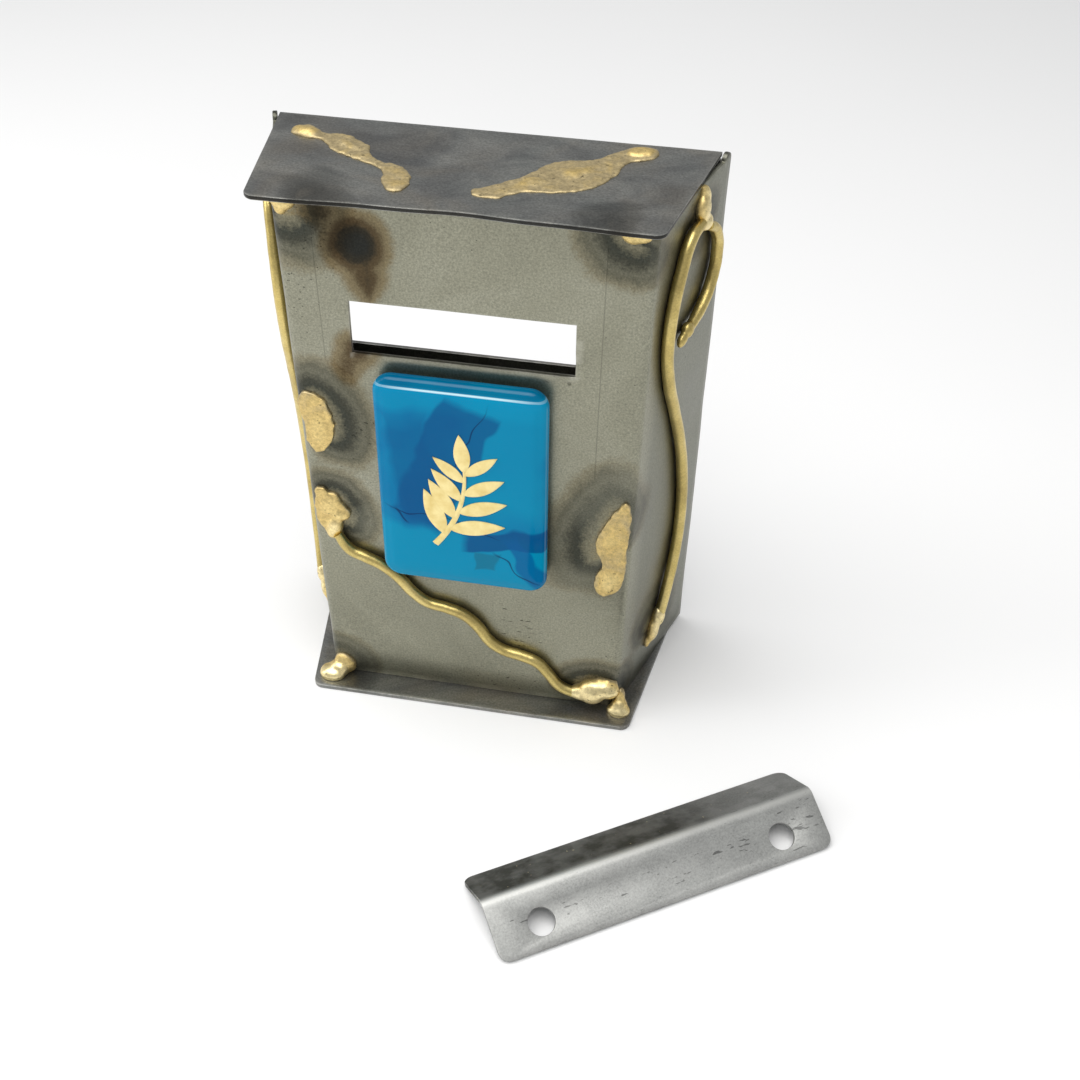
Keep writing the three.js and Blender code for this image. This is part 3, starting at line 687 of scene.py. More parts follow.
def lump(centre, size, turn=0.0, facing=0.0):
    """A drop of that width, depth and height, turned in its wall's plane, then to face out."""
    clear_bench()
    bpy.ops.mesh.primitive_uv_sphere_add(
        segments=28, ring_count=18, radius=0.5, location=centre,
        rotation=(0, radians(turn), radians(facing)),
    )
    drop = bpy.context.active_object
    drop.scale = size
    return settle(drop)


def pool(name, outline, height, place, upright_on_front=False):
    """A flat pool inside an outline of millimetres about its place, twice that height thick."""
    clear_bench()
    bpy.ops.curve.primitive_bezier_circle_add()
    brass = name_it(name)
    line = brass.data.splines[0]
    line.bezier_points.add(len(outline) - len(line.bezier_points))
    for knot, (x, y) in zip(line.bezier_points, outline):
        knot.co = (x * MM, y * MM, 0)
        knot.handle_left_type = knot.handle_right_type = "AUTO"
    brass.data.dimensions = "2D"
    brass.data.fill_mode = "BOTH"
    brass.data.extrude = height
    bpy.ops.object.convert(target="MESH")
    brass = name_it(name)
    dent(brass, 2.1 * MM, 1.5 * MM, "X")
    dent(brass, 1.7 * MM, 1.5 * MM, "Y")
    brass.rotation_euler.x = pi / 2 if upright_on_front else 0
    brass.location = place
    settle(brass)
    face_out(brass)
    return brass


def melt(name, drops, cutters, cell=0.34 * MM, runs=20, rough=0.34 * MM, pits=1.5 * MM):
    """Flows the drops into one solid, roughens it and trims it to the steel it is brazed to.

    cell is the size of the mesh's cells, runs how often it is smoothed, rough the height of its
    bumps and pits the size of the small ones.
    """
    bead = weld(drops, name)
    apply_tool(bead, "REMESH", mode="VOXEL", voxel_size=cell)
    dent(bead, 2.6 * MM, rough)
    apply_tool(bead, "SMOOTH", factor=0.5, iterations=runs)
    dent(bead, pits, rough * 0.25)
    for cutter in cutters:
        carve(bead, cutter, keep=True)
    keep_largest(bead)
    return smooth(bead, 60)


def keep_largest(bead):
    """Keeps the largest island of the mesh and drops the crumbs that the trimming left."""
    mark(bead, "VERT", everything)
    bpy.ops.mesh.remove_doubles(threshold=0.002 * MM)
    clear_bench()
    shape = bmesh.new()
    shape.from_mesh(bead.data)
    islands = []
    left = set(shape.verts)
    while left:
        island, edge = set(), [next(iter(left))]
        while edge:
            vertex = edge.pop()
            if vertex in left:
                left.discard(vertex)
                island.add(vertex)
                edge.extend(e.other_vert(vertex) for e in vertex.link_edges)
        islands.append(island)
    largest = max(islands, key=len)
    crumbs = [v for v in shape.verts if v not in largest]
    bmesh.ops.delete(shape, geom=crumbs, context="VERTS")
    shape.to_mesh(bead.data)
    shape.free()


def body_core():
    """The space inside the body's outer face, a little smaller, that brass can't reach."""
    core = folded_sheet("body_core")
    for edge_test, way in (
        (lambda e: e.is_boundary and middle(e).z > BODY_TOP - SEAM, ROOF_Z),
        (lambda e: e.is_boundary and middle(e).z < BODY_BOTTOM + SEAM, -ROOF_Z / 4),
    ):
        mark(core, "EDGE", edge_test)
        pull((0, 0, way))
    mark(core, "EDGE", lambda e: e.is_boundary and upright(e))
    bpy.ops.mesh.bridge_edge_loops()
    mark(core, "EDGE", lambda e: e.is_boundary)
    bpy.ops.mesh.fill_holes(sides=0)
    clear_bench()
    face_out(core)
    mark(core, "FACE", everything)
    bpy.ops.transform.shrink_fatten(value=-BRASS_BITE)
    clear_bench()
    return core


def space(name, low, high):
    """A slab wider than the box, between two heights, that brass is trimmed to."""
    reach = 100 * MM
    low, high = Vector((-reach, -reach, low)), Vector((reach, reach, high))
    return cube_blank(name, (low + high) / 2, high - low)


# Outlines of the thin patches, in millimetres about the place each one starts from
OVAL_OUTLINE = [
    (-2.2, 9.3), (0.5, 9.5), (3.1, 8.4), (4.7, 5.6), (5.7, -1), (3.6, -7.3), (0.9, -9.2),
    (-1.6, -6.9), (-2.2, -0.7),
]
LEAF_OUTLINE = [
    (-5, 14.6), (-1, 12.8), (1.4, 10.6), (4, 6.4), (1.6, 4.1), (0.8, 1.1), (0.9, -1.6),
    (-1.3, -2.3), (-4, 0.6), (-5.5, 3.4), (-5.6, 11),
]
HEEL_OUTLINE = [
    (0.2, 1.7), (4.4, 3.8), (6.6, 5.6), (8.4, 6), (11.4, 5.2), (12.6, 4.2), (11.4, 1.8), (8.7, 0.6),
    (6.6, -1.6), (4.9, -3), (2.8, -2.2), (0.2, -1.6),
]
RIGHT_PATCH_OUTLINE = [
    (2, 17), (3.2, 14), (3.3, 7), (2.7, 0.6), (2.5, -6.5), (1, -13.4), (-1.8, -16), (-4.3, -15.8),
    (-5.7, -13.3), (-5.2, -9), (-3.6, -4.9), (-5.3, -0.8), (-5.8, 2.6), (-3.6, 8.7), (-0.3, 14.3),
]


def front_beads(core, under_roof, over_base):
    leaf, heel = FRONT_ROD_POINTS[0], FRONT_ROD_POINTS[-1]
    beads = {}

    def spot(at, x, z, out=0.0):
        return Vector((at.x + x * MM, FRONT_Y - out * MM, at.z + z * MM))

    def drop(at, x, z, out, size, turn=0.0):
        return lump(spot(at, x, z, out), [length * MM for length in size], turn)

    def patch(at, outline, height):
        return pool("patch", outline, height * MM, spot(at, 0, 0), True)

    beads["front_rod_left_braze"] = melt("leaf_bead", [
        patch(leaf, LEAF_OUTLINE, 1.1),
        drop(leaf, -1.8, 9, 0.2, (6.6, 3.4, 9), 20),
        drop(leaf, 0.9, 6.2, 0.6, (5.6, 2.8, 4)),
        drop(leaf, -0.9, 1.6, 0.6, (4.6, 4.2, 8), 14),
    ], [core], runs=9)
    beads["front_rod_right_braze"] = melt("heel_bead", [
        patch(heel, HEEL_OUTLINE, 1.1),
        drop(heel, 5.4, 1.2, 1.3, (9, 6.6, 8.4), -24),
        drop(heel, 8.6, 2.6, 1.1, (9.4, 5.8, 6.2), 8),
        drop(heel, 2.4, 0.3, 1.5, (8.6, 4.6, 4.6)),
    ], [core, over_base])
    oval = near_edge(-1, 3.1 * MM, leaf.z + 36 * MM, 0)
    beads["left_edge_braze"] = melt("left_edge_bead", [
        patch(oval, OVAL_OUTLINE, 0.9),
        drop(oval, 1.6, -1.6, 0, (6.6, 2.9, 14), 4),
    ], [core], runs=9)
    right = near_edge(1, 3.4 * MM, lerp(FLOOR_Z, ROOF_Z, 0.383), 0)
    beads["right_edge_braze"] = melt("right_edge_bead", [
        patch(right, RIGHT_PATCH_OUTLINE, 0.85),
        drop(right, -1.2, -10.2, 0, (6.8, 3.8, 11), 8),
        drop(right, -1.4, 3.4, 0, (6, 2.5, 9), 20),
    ], [core], runs=9)
    at = near_edge(-1, 2.4 * MM, ROOF_Z - 1.2 * MM, 0)
    beads["roof_left_braze"] = melt("roof_bead_left", [
        drop(at, 0.6, 0, 0.2, (6.6, 4, 4.6), 12),
        drop(at, -0.2, -1.8, 0.1, (3.4, 3, 4.4), -12),
    ], [core, under_roof])
    at = near_edge(1, 5 * MM, ROOF_Z - 1 * MM, 0)
    beads["roof_right_braze"] = melt("roof_bead_right", [
        drop(at, -0.8, 0.2, 0, (6.6, 3.8, 6)),
        drop(at, 1.4, 0.2, 0, (5.4, 3.6, 5), -16),
    ], [core, under_roof])
    at = near_edge(-1, 1 * MM, FLOOR_Z + 2 * MM, 0)
    beads["base_left_braze"] = melt("base_bead_left", [
        drop(at, -1.2, -1.2, 2.5, (8.2, 6.8, 4.8)),
        drop(at, 0.6, -0.2, 1.2, (6.6, 6, 5.6)),
        drop(at, 2.2, 1.2, 0, (6, 4.4, 7.8), -34),
    ], [core, over_base])
    at = near_edge(1, -1.2 * MM, FLOOR_Z + 1.6 * MM, 0)
    beads["base_right_braze"] = melt("base_bead_right", [
        drop(at, 0, -0.9, 1.7, (7, 5.6, 4.6)),
        drop(at, 0, 0.8, 0.9, (4.8, 4.6, 5)),
        drop(at, 0.1, 3.2, -0.2, (2.9, 3.6, 6.4)),
    ], [core, over_base])
    return beads


def side_brass(core, under_roof):
    """The rods, hooks and beads of both sides, under the names of the nodes they stand for."""
    brass = {}
    for word, side in SIDES.items():
        def drop(depth, rise, out, size, turn=0.0):
            place = on_side(side, depth, rise, out * MM)
            return lump(place, [length * MM for length in size], side * turn, side * 72)

        line = side_points(side, SIDE_ROD_LINE)
        brass[f"{word}_rod"] = bend_rod(f"side_rod_{word}", line, [(0, 0.8)])
        shank = bend_rod("shank", side_points(side, HOOK_LINE), [(0, 0.8), (5, 0.8)])
        brass[f"{word}_hook"] = melt(f"hook_{word}", [
            shank,
            drop(0.485, 0.76, 1.5, (4.4, 3.2, 4.4)),
            drop(0.425, 0.751, 1.4, (4.8, 2.4, 3.2), -28),
        ], [core], cell=0.26 * MM, runs=4, rough=0.2 * MM, pits=2.4 * MM)
        brass[f"{word}_rod_top_braze"] = melt(f"rod_top_bead_{word}", [
            drop(0.6, 0.985, 0.4, (3.2, 3.6, 6.6), -20),
            drop(0.57, 0.965, 0.8, (5.4, 4, 7.4)),
            drop(0.6, 0.94, 1.0, (5.6, 4.4, 4.6)),
        ], [core, under_roof])
        brass[f"{word}_rod_foot_braze"] = melt(f"rod_foot_bead_{word}", [
            drop(0.51, 0.117, 1.4, (4.4, 4, 7), 22),
            drop(0.47, 0.093, 0.9, (4.6, 3.6, 8.4), 26),
            drop(0.425, 0.073, 0.4, (2.4, 2.2, 5), 34),
        ], [core], cell=0.28 * MM, runs=6)
    return brass


def back_beads():
    """Small beads in the rear corners, joining the rear wall to the sides."""
    brass = {}
    for level in ("lower", "upper"):
        for word, side in SIDES.items():
            node = f"back_{level}_{word}_braze"
            low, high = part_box(node)
            centre = (low + high) / 2
            width = (high - low) * 0.9
            drops = []
            for up, share, turn in ((1.6, 0.62, 8), (-1.6, 0.6, -6)):
                size = (width.x, width.y, width.z * share)
                drops.append(lump(centre + Vector((0, 0, up * MM)), size, side * turn))
            brass[node] = melt(f"back_bead_{level}_{word}", drops, [],
                               cell=0.24 * MM, runs=2, rough=0.16 * MM)
    return brass


def roof_point(across, back):
    """A place on the roof from percents of its half width at the rear and of its depth."""
    half = REAR_HALF + REAR_FLARE - ROOF_REAR_INSET
    return Vector((half * across / 100, lerp(ROOF_FRONT_Y, ROOF_REAR_Y, back / 100), ROOF_TOP))


LEFT_RUN_OUTLINE = [
    (-89, 78), (-81, 71), (-74, 70), (-66, 59), (-51, 49), (-40, 41), (-37.5, 28), (-30, 18.5),
    (-26, 31), (-33, 47), (-44.5, 52), (-53.5, 70), (-65, 78), (-74, 78), (-83, 86),
]
RIGHT_RUN_OUTLINE = [
    (1, 26.5), (11, 21), (21, 30), (39, 35), (51, 44), (58, 60), (62, 76), (71, 82), (73, 92),
    (65, 96), (55, 87), (46, 75), (31, 69), (20, 49), (8, 35),
]


def roof_run(name, outline, drops, under):
    """A run of brass that flowed over the roof, with drops of (across, back, size, turn) on it."""
    points = [tuple(roof_point(*share).xy / MM) for share in outline]
    parts = [pool("run", points, 0.42 * MM, (0, 0, ROOF_TOP))]
    for across, back, size, turn in drops:
        place = roof_point(across, back)
        parts.append(lump(place, [length * MM for length in size], 0, turn))
    return melt(name, parts, [under], runs=5, rough=0.5 * MM, pits=1.2 * MM)


def roof_runs():
    """The two runs on the roof, each with a bright swollen end."""
    under = space("roof_top_side", ROOF_TOP - 20 * MM, ROOF_TOP - 0.06 * MM)
    runs = {
        "roof_left_run": roof_run("roof_run_left", LEFT_RUN_OUTLINE, [
            (-82, 77, (8.4, 5, 2.8), -20), (-60, 66, (12, 4, 1.5), -30), (-31, 25, (5, 6, 1.7), 0),
        ], under),
        "roof_right_run": roof_run("roof_run_right", RIGHT_RUN_OUTLINE, [
            (25, 43, (10, 6, 1.4), 24), (41, 58, (12, 8, 1.6), 34), (66, 88, (8.4, 5.4, 2.8), 14),
        ], under),
    }
    bpy.data.objects.remove(under)
    return runs


# --- Finishes ---------------------------------------------------------------------------------

def finish_named(name):
    material = bpy.data.materials.new(name)
    material.use_nodes = True
    return material, material.node_tree


def put(tree, kind, wires=None, **settings):
    """Adds a shader node: settings are its options, and wires its inputs, as values or outputs."""
    node = tree.nodes.new("ShaderNode" + kind)
    for key, value in settings.items():
        setattr(node, key, value)
    for key, value in (wires or {}).items():
        if isinstance(value, bpy.types.NodeSocket):
            tree.links.new(value, node.inputs[key])
        else:
            node.inputs[key].default_value = value
    return node


def place_of(tree):
    return put(tree, "TexCoord").outputs["Object"]


def grain(tree, place, scale, detail=3.0, roughness=0.55, distortion=0.0):
    return put(tree, "TexNoise", {
        "Vector": place, "Scale": scale, "Detail": detail, "Roughness": roughness,
        "Distortion": distortion,
    }).outputs["Fac"]


def axes(tree, place):
    return put(tree, "SeparateXYZ", {"Vector": place}).outputs


def off_point(tree, place, point):
    """The distance from a point."""
    return put(tree, "VectorMath", {0: place, 1: point}, operation="DISTANCE").outputs["Value"]


def stretched(tree, place, scale):
    """The place, pulled along one way, for streaks."""
    return put(tree, "Mapping", {"Vector": place, "Scale": scale}).outputs["Vector"]


def grey(level):
    return (level, level, level)


def tones(tree, value, *stops, ease="LINEAR"):
    """Turns a value into a colour through stops of (value, colour). A plain number is a grey."""
    ramp = put(tree, "ValToRGB", {"Fac": value})
    ramp.color_ramp.interpolation = ease
    elements = ramp.color_ramp.elements
    elements.remove(elements[1])
    for index, (at, colour) in enumerate(stops):
        element = elements.new(at) if index else elements[0]
        element.position = at
        element.color = (*(colour if isinstance(colour, tuple) else grey(colour)), 1)
    return ramp.outputs["Color"]


def mix(tree, how, share, first, second):
    node = put(tree, "Mix", {"Factor": share}, data_type="RGBA", blend_type=how)
    for socket, value in ((node.inputs[6], first), (node.inputs[7], second)):
        if isinstance(value, bpy.types.NodeSocket):
            tree.links.new(value, socket)
        else:
            socket.default_value = (*value, 1)
    return node.outputs[2]


def tinted(tree, colour, value, *stops, share=1.0, ease="LINEAR"):
    """The colour, multiplied by tones that follow a value."""
    return mix(tree, "MULTIPLY", share, colour, tones(tree, value, *stops, ease=ease))


def sums(tree, how, first, second=0.0, third=0.0):
    """A step of arithmetic on values or outputs."""
    node = put(tree, "Math", operation=how)
    for socket, value in zip(node.inputs, (first, second, third)):
        if isinstance(value, bpy.types.NodeSocket):
            tree.links.new(value, socket)
        else:
            socket.default_value = value
    return node.outputs[0]


def swing(tree, value, reach):
    """A noise value as a swing to both sides of nothing, of half the reach at most."""
    return sums(tree, "MULTIPLY_ADD", value, reach, -reach / 2)


def span(tree, value, low, high, to_low, to_high):
    """Carries a value from one range to another, and holds it at the ends."""
    return put(tree, "MapRange", {
        "Value": value, "From Min": low, "From Max": high, "To Min": to_low, "To Max": to_high,
    }).outputs["Result"]


def painted(tree, name):
    """The numbers painted on the piece under that name."""
    return put(tree, "Attribute", attribute_name=name).outputs["Fac"]


def relief(tree, height, strength, distance, after=None):
    wires = {"Height": height, "Strength": strength, "Distance": distance}
    if after is not None:
        wires["Normal"] = after
    return put(tree, "Bump", wires).outputs["Normal"]


def surface(tree, colour, roughness, normal, **values):
    """Gives the finish its colour, roughness and normal, and plain values for the rest."""
    shader = tree.nodes["Principled BSDF"]
    for key, value in (("Base Color", colour), ("Roughness", roughness), ("Normal", normal)):
        if isinstance(value, bpy.types.NodeSocket):
            tree.links.new(value, shader.inputs[key])
        elif value is not None:
            shader.inputs[key].default_value = value
    for key, value in values.items():
        shader.inputs[key.replace("_", " ")].default_value = value


def bare_steel():
    """Cold-rolled sheet: fine grain, cloudy tone, heat colours round each braze, scribed lines."""
    material, tree = finish_named("bare_steel")
    place = place_of(tree)
    cloud = grain(tree, place, 26, 4, 0.6, 0.6)
    colour = tones(tree, cloud, (0.3, (0.225, 0.222, 0.168)), (0.52, (0.285, 0.281, 0.214)),
                   (0.75, (0.345, 0.34, 0.268)))
    _, y, z = axes(tree, place)
    # Painted shade on the sides: from just behind the front, the colour turns darker and a little
    # cooler.
    side_shade = span(tree, y, FRONT_Y + 2.5 * MM, FRONT_Y + 9 * MM, 0.0, 1.0)
    colour = mix(tree, "MULTIPLY", side_shade, colour, (0.66, 0.68, 0.69))
    ear = span(tree, z, ROOF_Z, ROOF_TOP, 0.0, 1.0)
    colour = mix(tree, "MULTIPLY", ear, colour, grey(0.35))
    fine = grain(tree, place, 1900, 2, 0.7)
    colour = tinted(tree, colour, fine, (0.3, 0.72), (0.7, 1.2))
    wander = swing(tree, grain(tree, place, 80, 4, 0.6, 0.4), 0.42)
    speckle = swing(tree, grain(tree, place, 900, 2, 0.7), 0.26)
    wander = sums(tree, "ADD", wander, speckle)
    heat = sums(tree, "ADD", painted(tree, "torch"), wander)
    rings = tones(
        tree, heat,
        (0.0, (1.06, 0.90, 0.66)), (0.08, (0.84, 0.79, 0.7)), (0.28, (0.20, 0.215, 0.225)),
        (0.40, (0.23, 0.235, 0.235)), (0.58, (0.54, 0.53, 0.51)), (0.68, (0.44, 0.43, 0.405)),
        (0.86, (0.78, 0.73, 0.66)), (1.0, 1.0),
    )
    fades = span(tree, grain(tree, place, 38, 2, 0.5), 0.36, 0.52, 0.6, 1.0)
    colour = mix(tree, "MULTIPLY", fades, colour, rings)
    burn = sums(tree, "ADD", painted(tree, "burn"), sums(tree, "MULTIPLY", wander, 0.7))
    colour = tinted(
        tree, colour, burn,
        (0.0, (0.085, 0.09, 0.105)), (0.2, (0.11, 0.10, 0.095)), (0.42, (0.30, 0.22, 0.155)),
        (0.7, (0.70, 0.58, 0.44)), (1.0, 1.0), ease="EASE",
    )
    colour = scribed(tree, place, colour, fine)
    colour = pitted(tree, place, colour)
    # Painted shade: darker towards the bottom, within 9 mm of the base, where the sheet reflects
    # the dark base plate; patchy with the cloud.
    low_shade = sums(tree, "MULTIPLY", span(tree, z, FLOOR_Z, FLOOR_Z + 9 * MM, 1.0, 0.0),
                 span(tree, cloud, 0.3, 0.6, 0.5, 1.0))
    colour = mix(tree, "MULTIPLY", low_shade, colour, (0.5, 0.49, 0.46))
    colour = rubbed(tree, place, colour, (0.50, 0.49, 0.42))
    rough = span(tree, cloud, 0.3, 0.7, 0.3, 0.42)
    rough = sums(tree, "ADD", rough, span(tree, heat, 0.3, 0.9, 0.1, 0.0))
    normal = relief(tree, fine, 0.22, 0.03 * MM)
    normal = relief(tree, grain(tree, place, 60, 2), 0.25, 0.5 * MM, normal)
    surface(tree, colour, rough, normal, Metallic=0.92)
    return material


# Layout lines scribed on the front, in millimetres: where across at SCRIBE_LEVEL, lean, both ends
SCRIBED_LINES = ((-36.3, -0.016, 112, 146), (34.0, 0.016, 84, 151))
SCRIBE_LEVEL = 130 * MM
PUNCH_MARK = (26.1 * MM, FRONT_Y, 112.5 * MM)
SCRATCHED_SPOT = (16 * MM, FRONT_Y, 26 * MM)


def scribed(tree, place, colour, fine):
    """The colour, with faint upright layout lines on the front and one punch mark."""
    x, y, z = axes(tree, place)
    on_face = sums(tree, "LESS_THAN", y, FRONT_Y + 0.4 * MM)
    dark = None
    for across, lean, low, high in SCRIBED_LINES:
        line = sums(tree, "MULTIPLY_ADD", z, lean, across * MM - lean * SCRIBE_LEVEL)
        off = sums(tree, "ABSOLUTE", sums(tree, "SUBTRACT", x, line))
        thin = span(tree, off, 0.06 * MM, 0.2 * MM, 1, 0)
        tall = sums(tree, "COMPARE", z, (low + high) / 2 * MM, (high - low) / 2 * MM)
        broken = span(tree, fine, 0.42, 0.56, 0.1, 1.0)
        stroke = sums(tree, "MULTIPLY", sums(tree, "MULTIPLY", thin, tall), broken)
        dark = stroke if dark is None else sums(tree, "MAXIMUM", dark, stroke)
    gap = off_point(tree, place, PUNCH_MARK)
    dark = sums(tree, "MAXIMUM", dark, span(tree, gap, 0.35 * MM, 0.7 * MM, 1, 0))
    dark = sums(tree, "MULTIPLY", dark, on_face)
    return tinted(tree, colour, dark, (0.0, 1.0), (1.0, 0.55))


def pitted(tree, place, colour):
    """The colour, with small dark rust pits in patches, and scratches low on the right."""
    patch = grain(tree, place, 22, 2, 0.5)
    speck = grain(tree, stretched(tree, place, (1, 1, 1.7)), 620, 2, 0.6)
    level = sums(tree, "ADD", speck, span(tree, patch, 0.45, 0.7, -0.12, 0.045))
    scratch = grain(tree, stretched(tree, place, (0.32, 1, 1.25)), 900, 2, 0.55)
    gap = off_point(tree, place, SCRATCHED_SPOT)
    scratch = sums(tree, "ADD", scratch, span(tree, gap, 4 * MM, 24 * MM, 0.045, -0.12))
    level = sums(tree, "MAXIMUM", level, scratch)
    return tinted(tree, colour, level, (0.665, 1.0), (0.71, 0.35))


def rubbed(tree, place, colour, bright):
    """The colour, worn to bright metal in broken stretches along the edges."""
    worn = grain(tree, place, 160, 3, 0.6)
    worn = sums(tree, "MULTIPLY", painted(tree, "rub"), span(tree, worn, 0.38, 0.62, 0.1, 0.9))
    return mix(tree, "MIX", worn, colour, bright)


def black_steel():
    """Sheet blackened by the torch: smoky swirls, brown and blue bloom, rubbed edges."""
    material, tree = finish_named("torched_steel")
    place = place_of(tree)
    smoke = grain(tree, stretched(tree, place, (26, 44, 26)), 1, 5, 0.6, 1.6)
    colour = tones(tree, smoke, (0.3, (0.125, 0.127, 0.125)), (0.48, (0.20, 0.202, 0.192)),
                   (0.6, (0.25, 0.249, 0.232)), (0.78, (0.33, 0.325, 0.30)))
    bloom = grain(tree, place, 44, 2, 0.5, 0.8)
    colour = tinted(tree, colour, bloom, (0.35, (0.97, 1.0, 1.01)), (0.5, 1.0),
                    (0.66, (1.07, 1.0, 0.92)), share=0.8)
    fine = grain(tree, place, 1600, 3, 0.7)
    colour = tinted(tree, colour, fine, (0.3, 0.7), (0.7, 1.28))
    scuff = grain(tree, stretched(tree, place, (120, 1400, 700)), 1, 2, 0.5)
    colour = mix(tree, "ADD", 0.3, colour, tones(tree, scuff, (0.66, 0.0), (0.8, 0.12)))
    heat = sums(tree, "ADD", painted(tree, "torch"), swing(tree, smoke, 0.6))
    colour = tinted(tree, colour, heat, (0.0, (1.1, 0.98, 0.8)), (0.35, (0.42, 0.415, 0.40)),
                    (0.8, (0.7, 0.7, 0.69)), (1.0, 1.0))
    colour = rubbed(tree, place, colour, (0.46, 0.455, 0.42))
    z = axes(tree, place)["Z"]
    # The roof sheet's cut edges, near black: partly blackened by the torch, partly painted shade
    # for the shadow along the roof's edge.
    blackened_shaded_edge = sums(tree, "COMPARE", z, (ROOF_Z + ROOF_TOP) / 2, SHEET / 2 - 0.2 * MM)
    colour = mix(tree, "MIX", sums(tree, "MULTIPLY", blackened_shaded_edge, 0.9), colour, (0.016, 0.015, 0.013))
    rough = span(tree, smoke, 0.3, 0.75, 0.46, 0.3)
    normal = relief(tree, fine, 0.25, 0.03 * MM)
    normal = relief(tree, grain(tree, place, 70, 2), 0.3, 0.4 * MM, normal)
    surface(tree, colour, rough, normal, Metallic=0.9)
    return material


def bracket_steel():
    """Bare sheet straight from the mill: pale, with fine dashes, a painted dark reflection of the
    box and a painted ridge highlight.
    """
    material, tree = finish_named("mill_steel")
    place = place_of(tree)
    local = put(tree, "Mapping", {
        "Vector": place, "Location": BRACKET_PLACE, "Rotation": (0, 0, BRACKET_TURN),
    }, vector_type="TEXTURE").outputs["Vector"]
    cloud = grain(tree, local, 48, 4, 0.6, 0.5)
    colour = tones(tree, cloud, (0.3, (0.33, 0.332, 0.32)), (0.7, (0.40, 0.405, 0.39)))
    fine = grain(tree, local, 1900, 2, 0.7)
    colour = tinted(tree, colour, fine, (0.3, 0.78), (0.7, 1.15))
    x, y, _ = axes(tree, local)
    wander = swing(tree, grain(tree, local, 55, 3), 2.6 * MM)
    # Painted reflection of the box: the rear flange darkened, most on the left and less towards the
    # right.
    behind = span(tree, sums(tree, "ADD", y, wander), -0.2 * MM, 2.6 * MM, 0, 1)
    fades = span(tree, sums(tree, "MULTIPLY_ADD", wander, 2.5, x), 8 * MM, 30 * MM, 1, 0.52)
    box_reflection = sums(tree, "MULTIPLY", behind, fades)
    colour = tinted(tree, colour, box_reflection, (0.0, 1.0), (1.0, (0.13, 0.13, 0.108)))
    # Painted highlight along the ridge of the fold.
    ridge = span(tree, sums(tree, "ABSOLUTE", sums(tree, "MULTIPLY_ADD", wander, 0.5, y)),
                 0.2 * MM, 1.7 * MM, 0.75, 0)
    colour = mix(tree, "MIX", ridge, colour, (0.66, 0.66, 0.63))
    dashes = grain(tree, stretched(tree, local, (260, 1100, 1100)), 1, 2, 0.55)
    off_row = sums(tree, "ABSOLUTE", sums(tree, "ADD", y, 7 * MM))
    in_row = span(tree, off_row, 0, 3 * MM, 0.06, -0.05)
    in_patch = span(tree, grain(tree, local, 40, 2), 0.45, 0.7, -0.04, 0.05)
    level = sums(tree, "ADD", dashes, sums(tree, "ADD", in_row, in_patch))
    colour = tinted(tree, colour, level, (0.655, 1.0), (0.70, 0.35))
    # Small brass specks, set only within the area of the painted reflection.
    speck = grain(tree, local, 1000, 1, 0.5)
    speck = sums(tree, "MULTIPLY", box_reflection, span(tree, speck, 0.76, 0.79, 0, 0.8))
    colour = mix(tree, "MIX", speck, colour, (0.62, 0.52, 0.28))
    colour = rubbed(tree, local, colour, (0.54, 0.54, 0.52))
    rough = span(tree, cloud, 0.3, 0.7, 0.52, 0.6)
    surface(tree, colour, rough, relief(tree, fine, 0.2, 0.03 * MM), Metallic=0.92)
    return material


def rod_brass():
    """Drawn brass rod, handled and a little tarnished."""
    material, tree = finish_named("rod_brass")
    place = place_of(tree)
    cloud = grain(tree, place, 90, 4, 0.6, 0.6)
    colour = tones(tree, cloud, (0.28, (0.46, 0.355, 0.13)), (0.5, (0.62, 0.49, 0.18)),
                   (0.72, (0.74, 0.60, 0.25)))
    fine = grain(tree, place, 2200, 2, 0.7)
    colour = tinted(tree, colour, fine, (0.3, 0.8), (0.7, 1.12))
    rough = span(tree, cloud, 0.3, 0.7, 0.42, 0.3)
    normal = relief(tree, fine, 0.3, 0.03 * MM)
    normal = relief(tree, grain(tree, place, 700, 3), 0.35, 0.12 * MM, normal)
    surface(tree, colour, rough, normal, Metallic=1.0)
    return material


def bead_brass():
    """Braze metal as it froze: matt and pitted where it is thin, bright where it stands proud."""
    material, tree = finish_named("bead_brass")
    place = place_of(tree)
    cloud = grain(tree, place, 150, 4, 0.65, 0.5)
    level = sums(tree, "ADD", painted(tree, "crest"), swing(tree, cloud, 0.5))
    colour = tones(tree, level, (0.0, (0.42, 0.34, 0.19)), (0.14, (0.54, 0.44, 0.25)),
                   (0.3, (0.70, 0.53, 0.22)), (0.6, (0.78, 0.61, 0.27)),
                   (0.95, (0.92, 0.77, 0.42)))
    fine = grain(tree, place, 1100, 3, 0.75)
    colour = tinted(tree, colour, fine, (0.3, 0.7), (0.7, 1.18))
    pit = grain(tree, place, 700, 2, 0.6)
    colour = tinted(tree, colour, pit, (0.28, 0.35), (0.33, 1.0))
    rough = span(tree, level, 0.1, 0.9, 0.56, 0.36)
    normal = relief(tree, fine, 0.4, 0.04 * MM)
    normal = relief(tree, grain(tree, place, 420, 2, 0.5), 0.35, 0.12 * MM, normal)
    surface(tree, colour, rough, normal, Metallic=1.0)
    return material


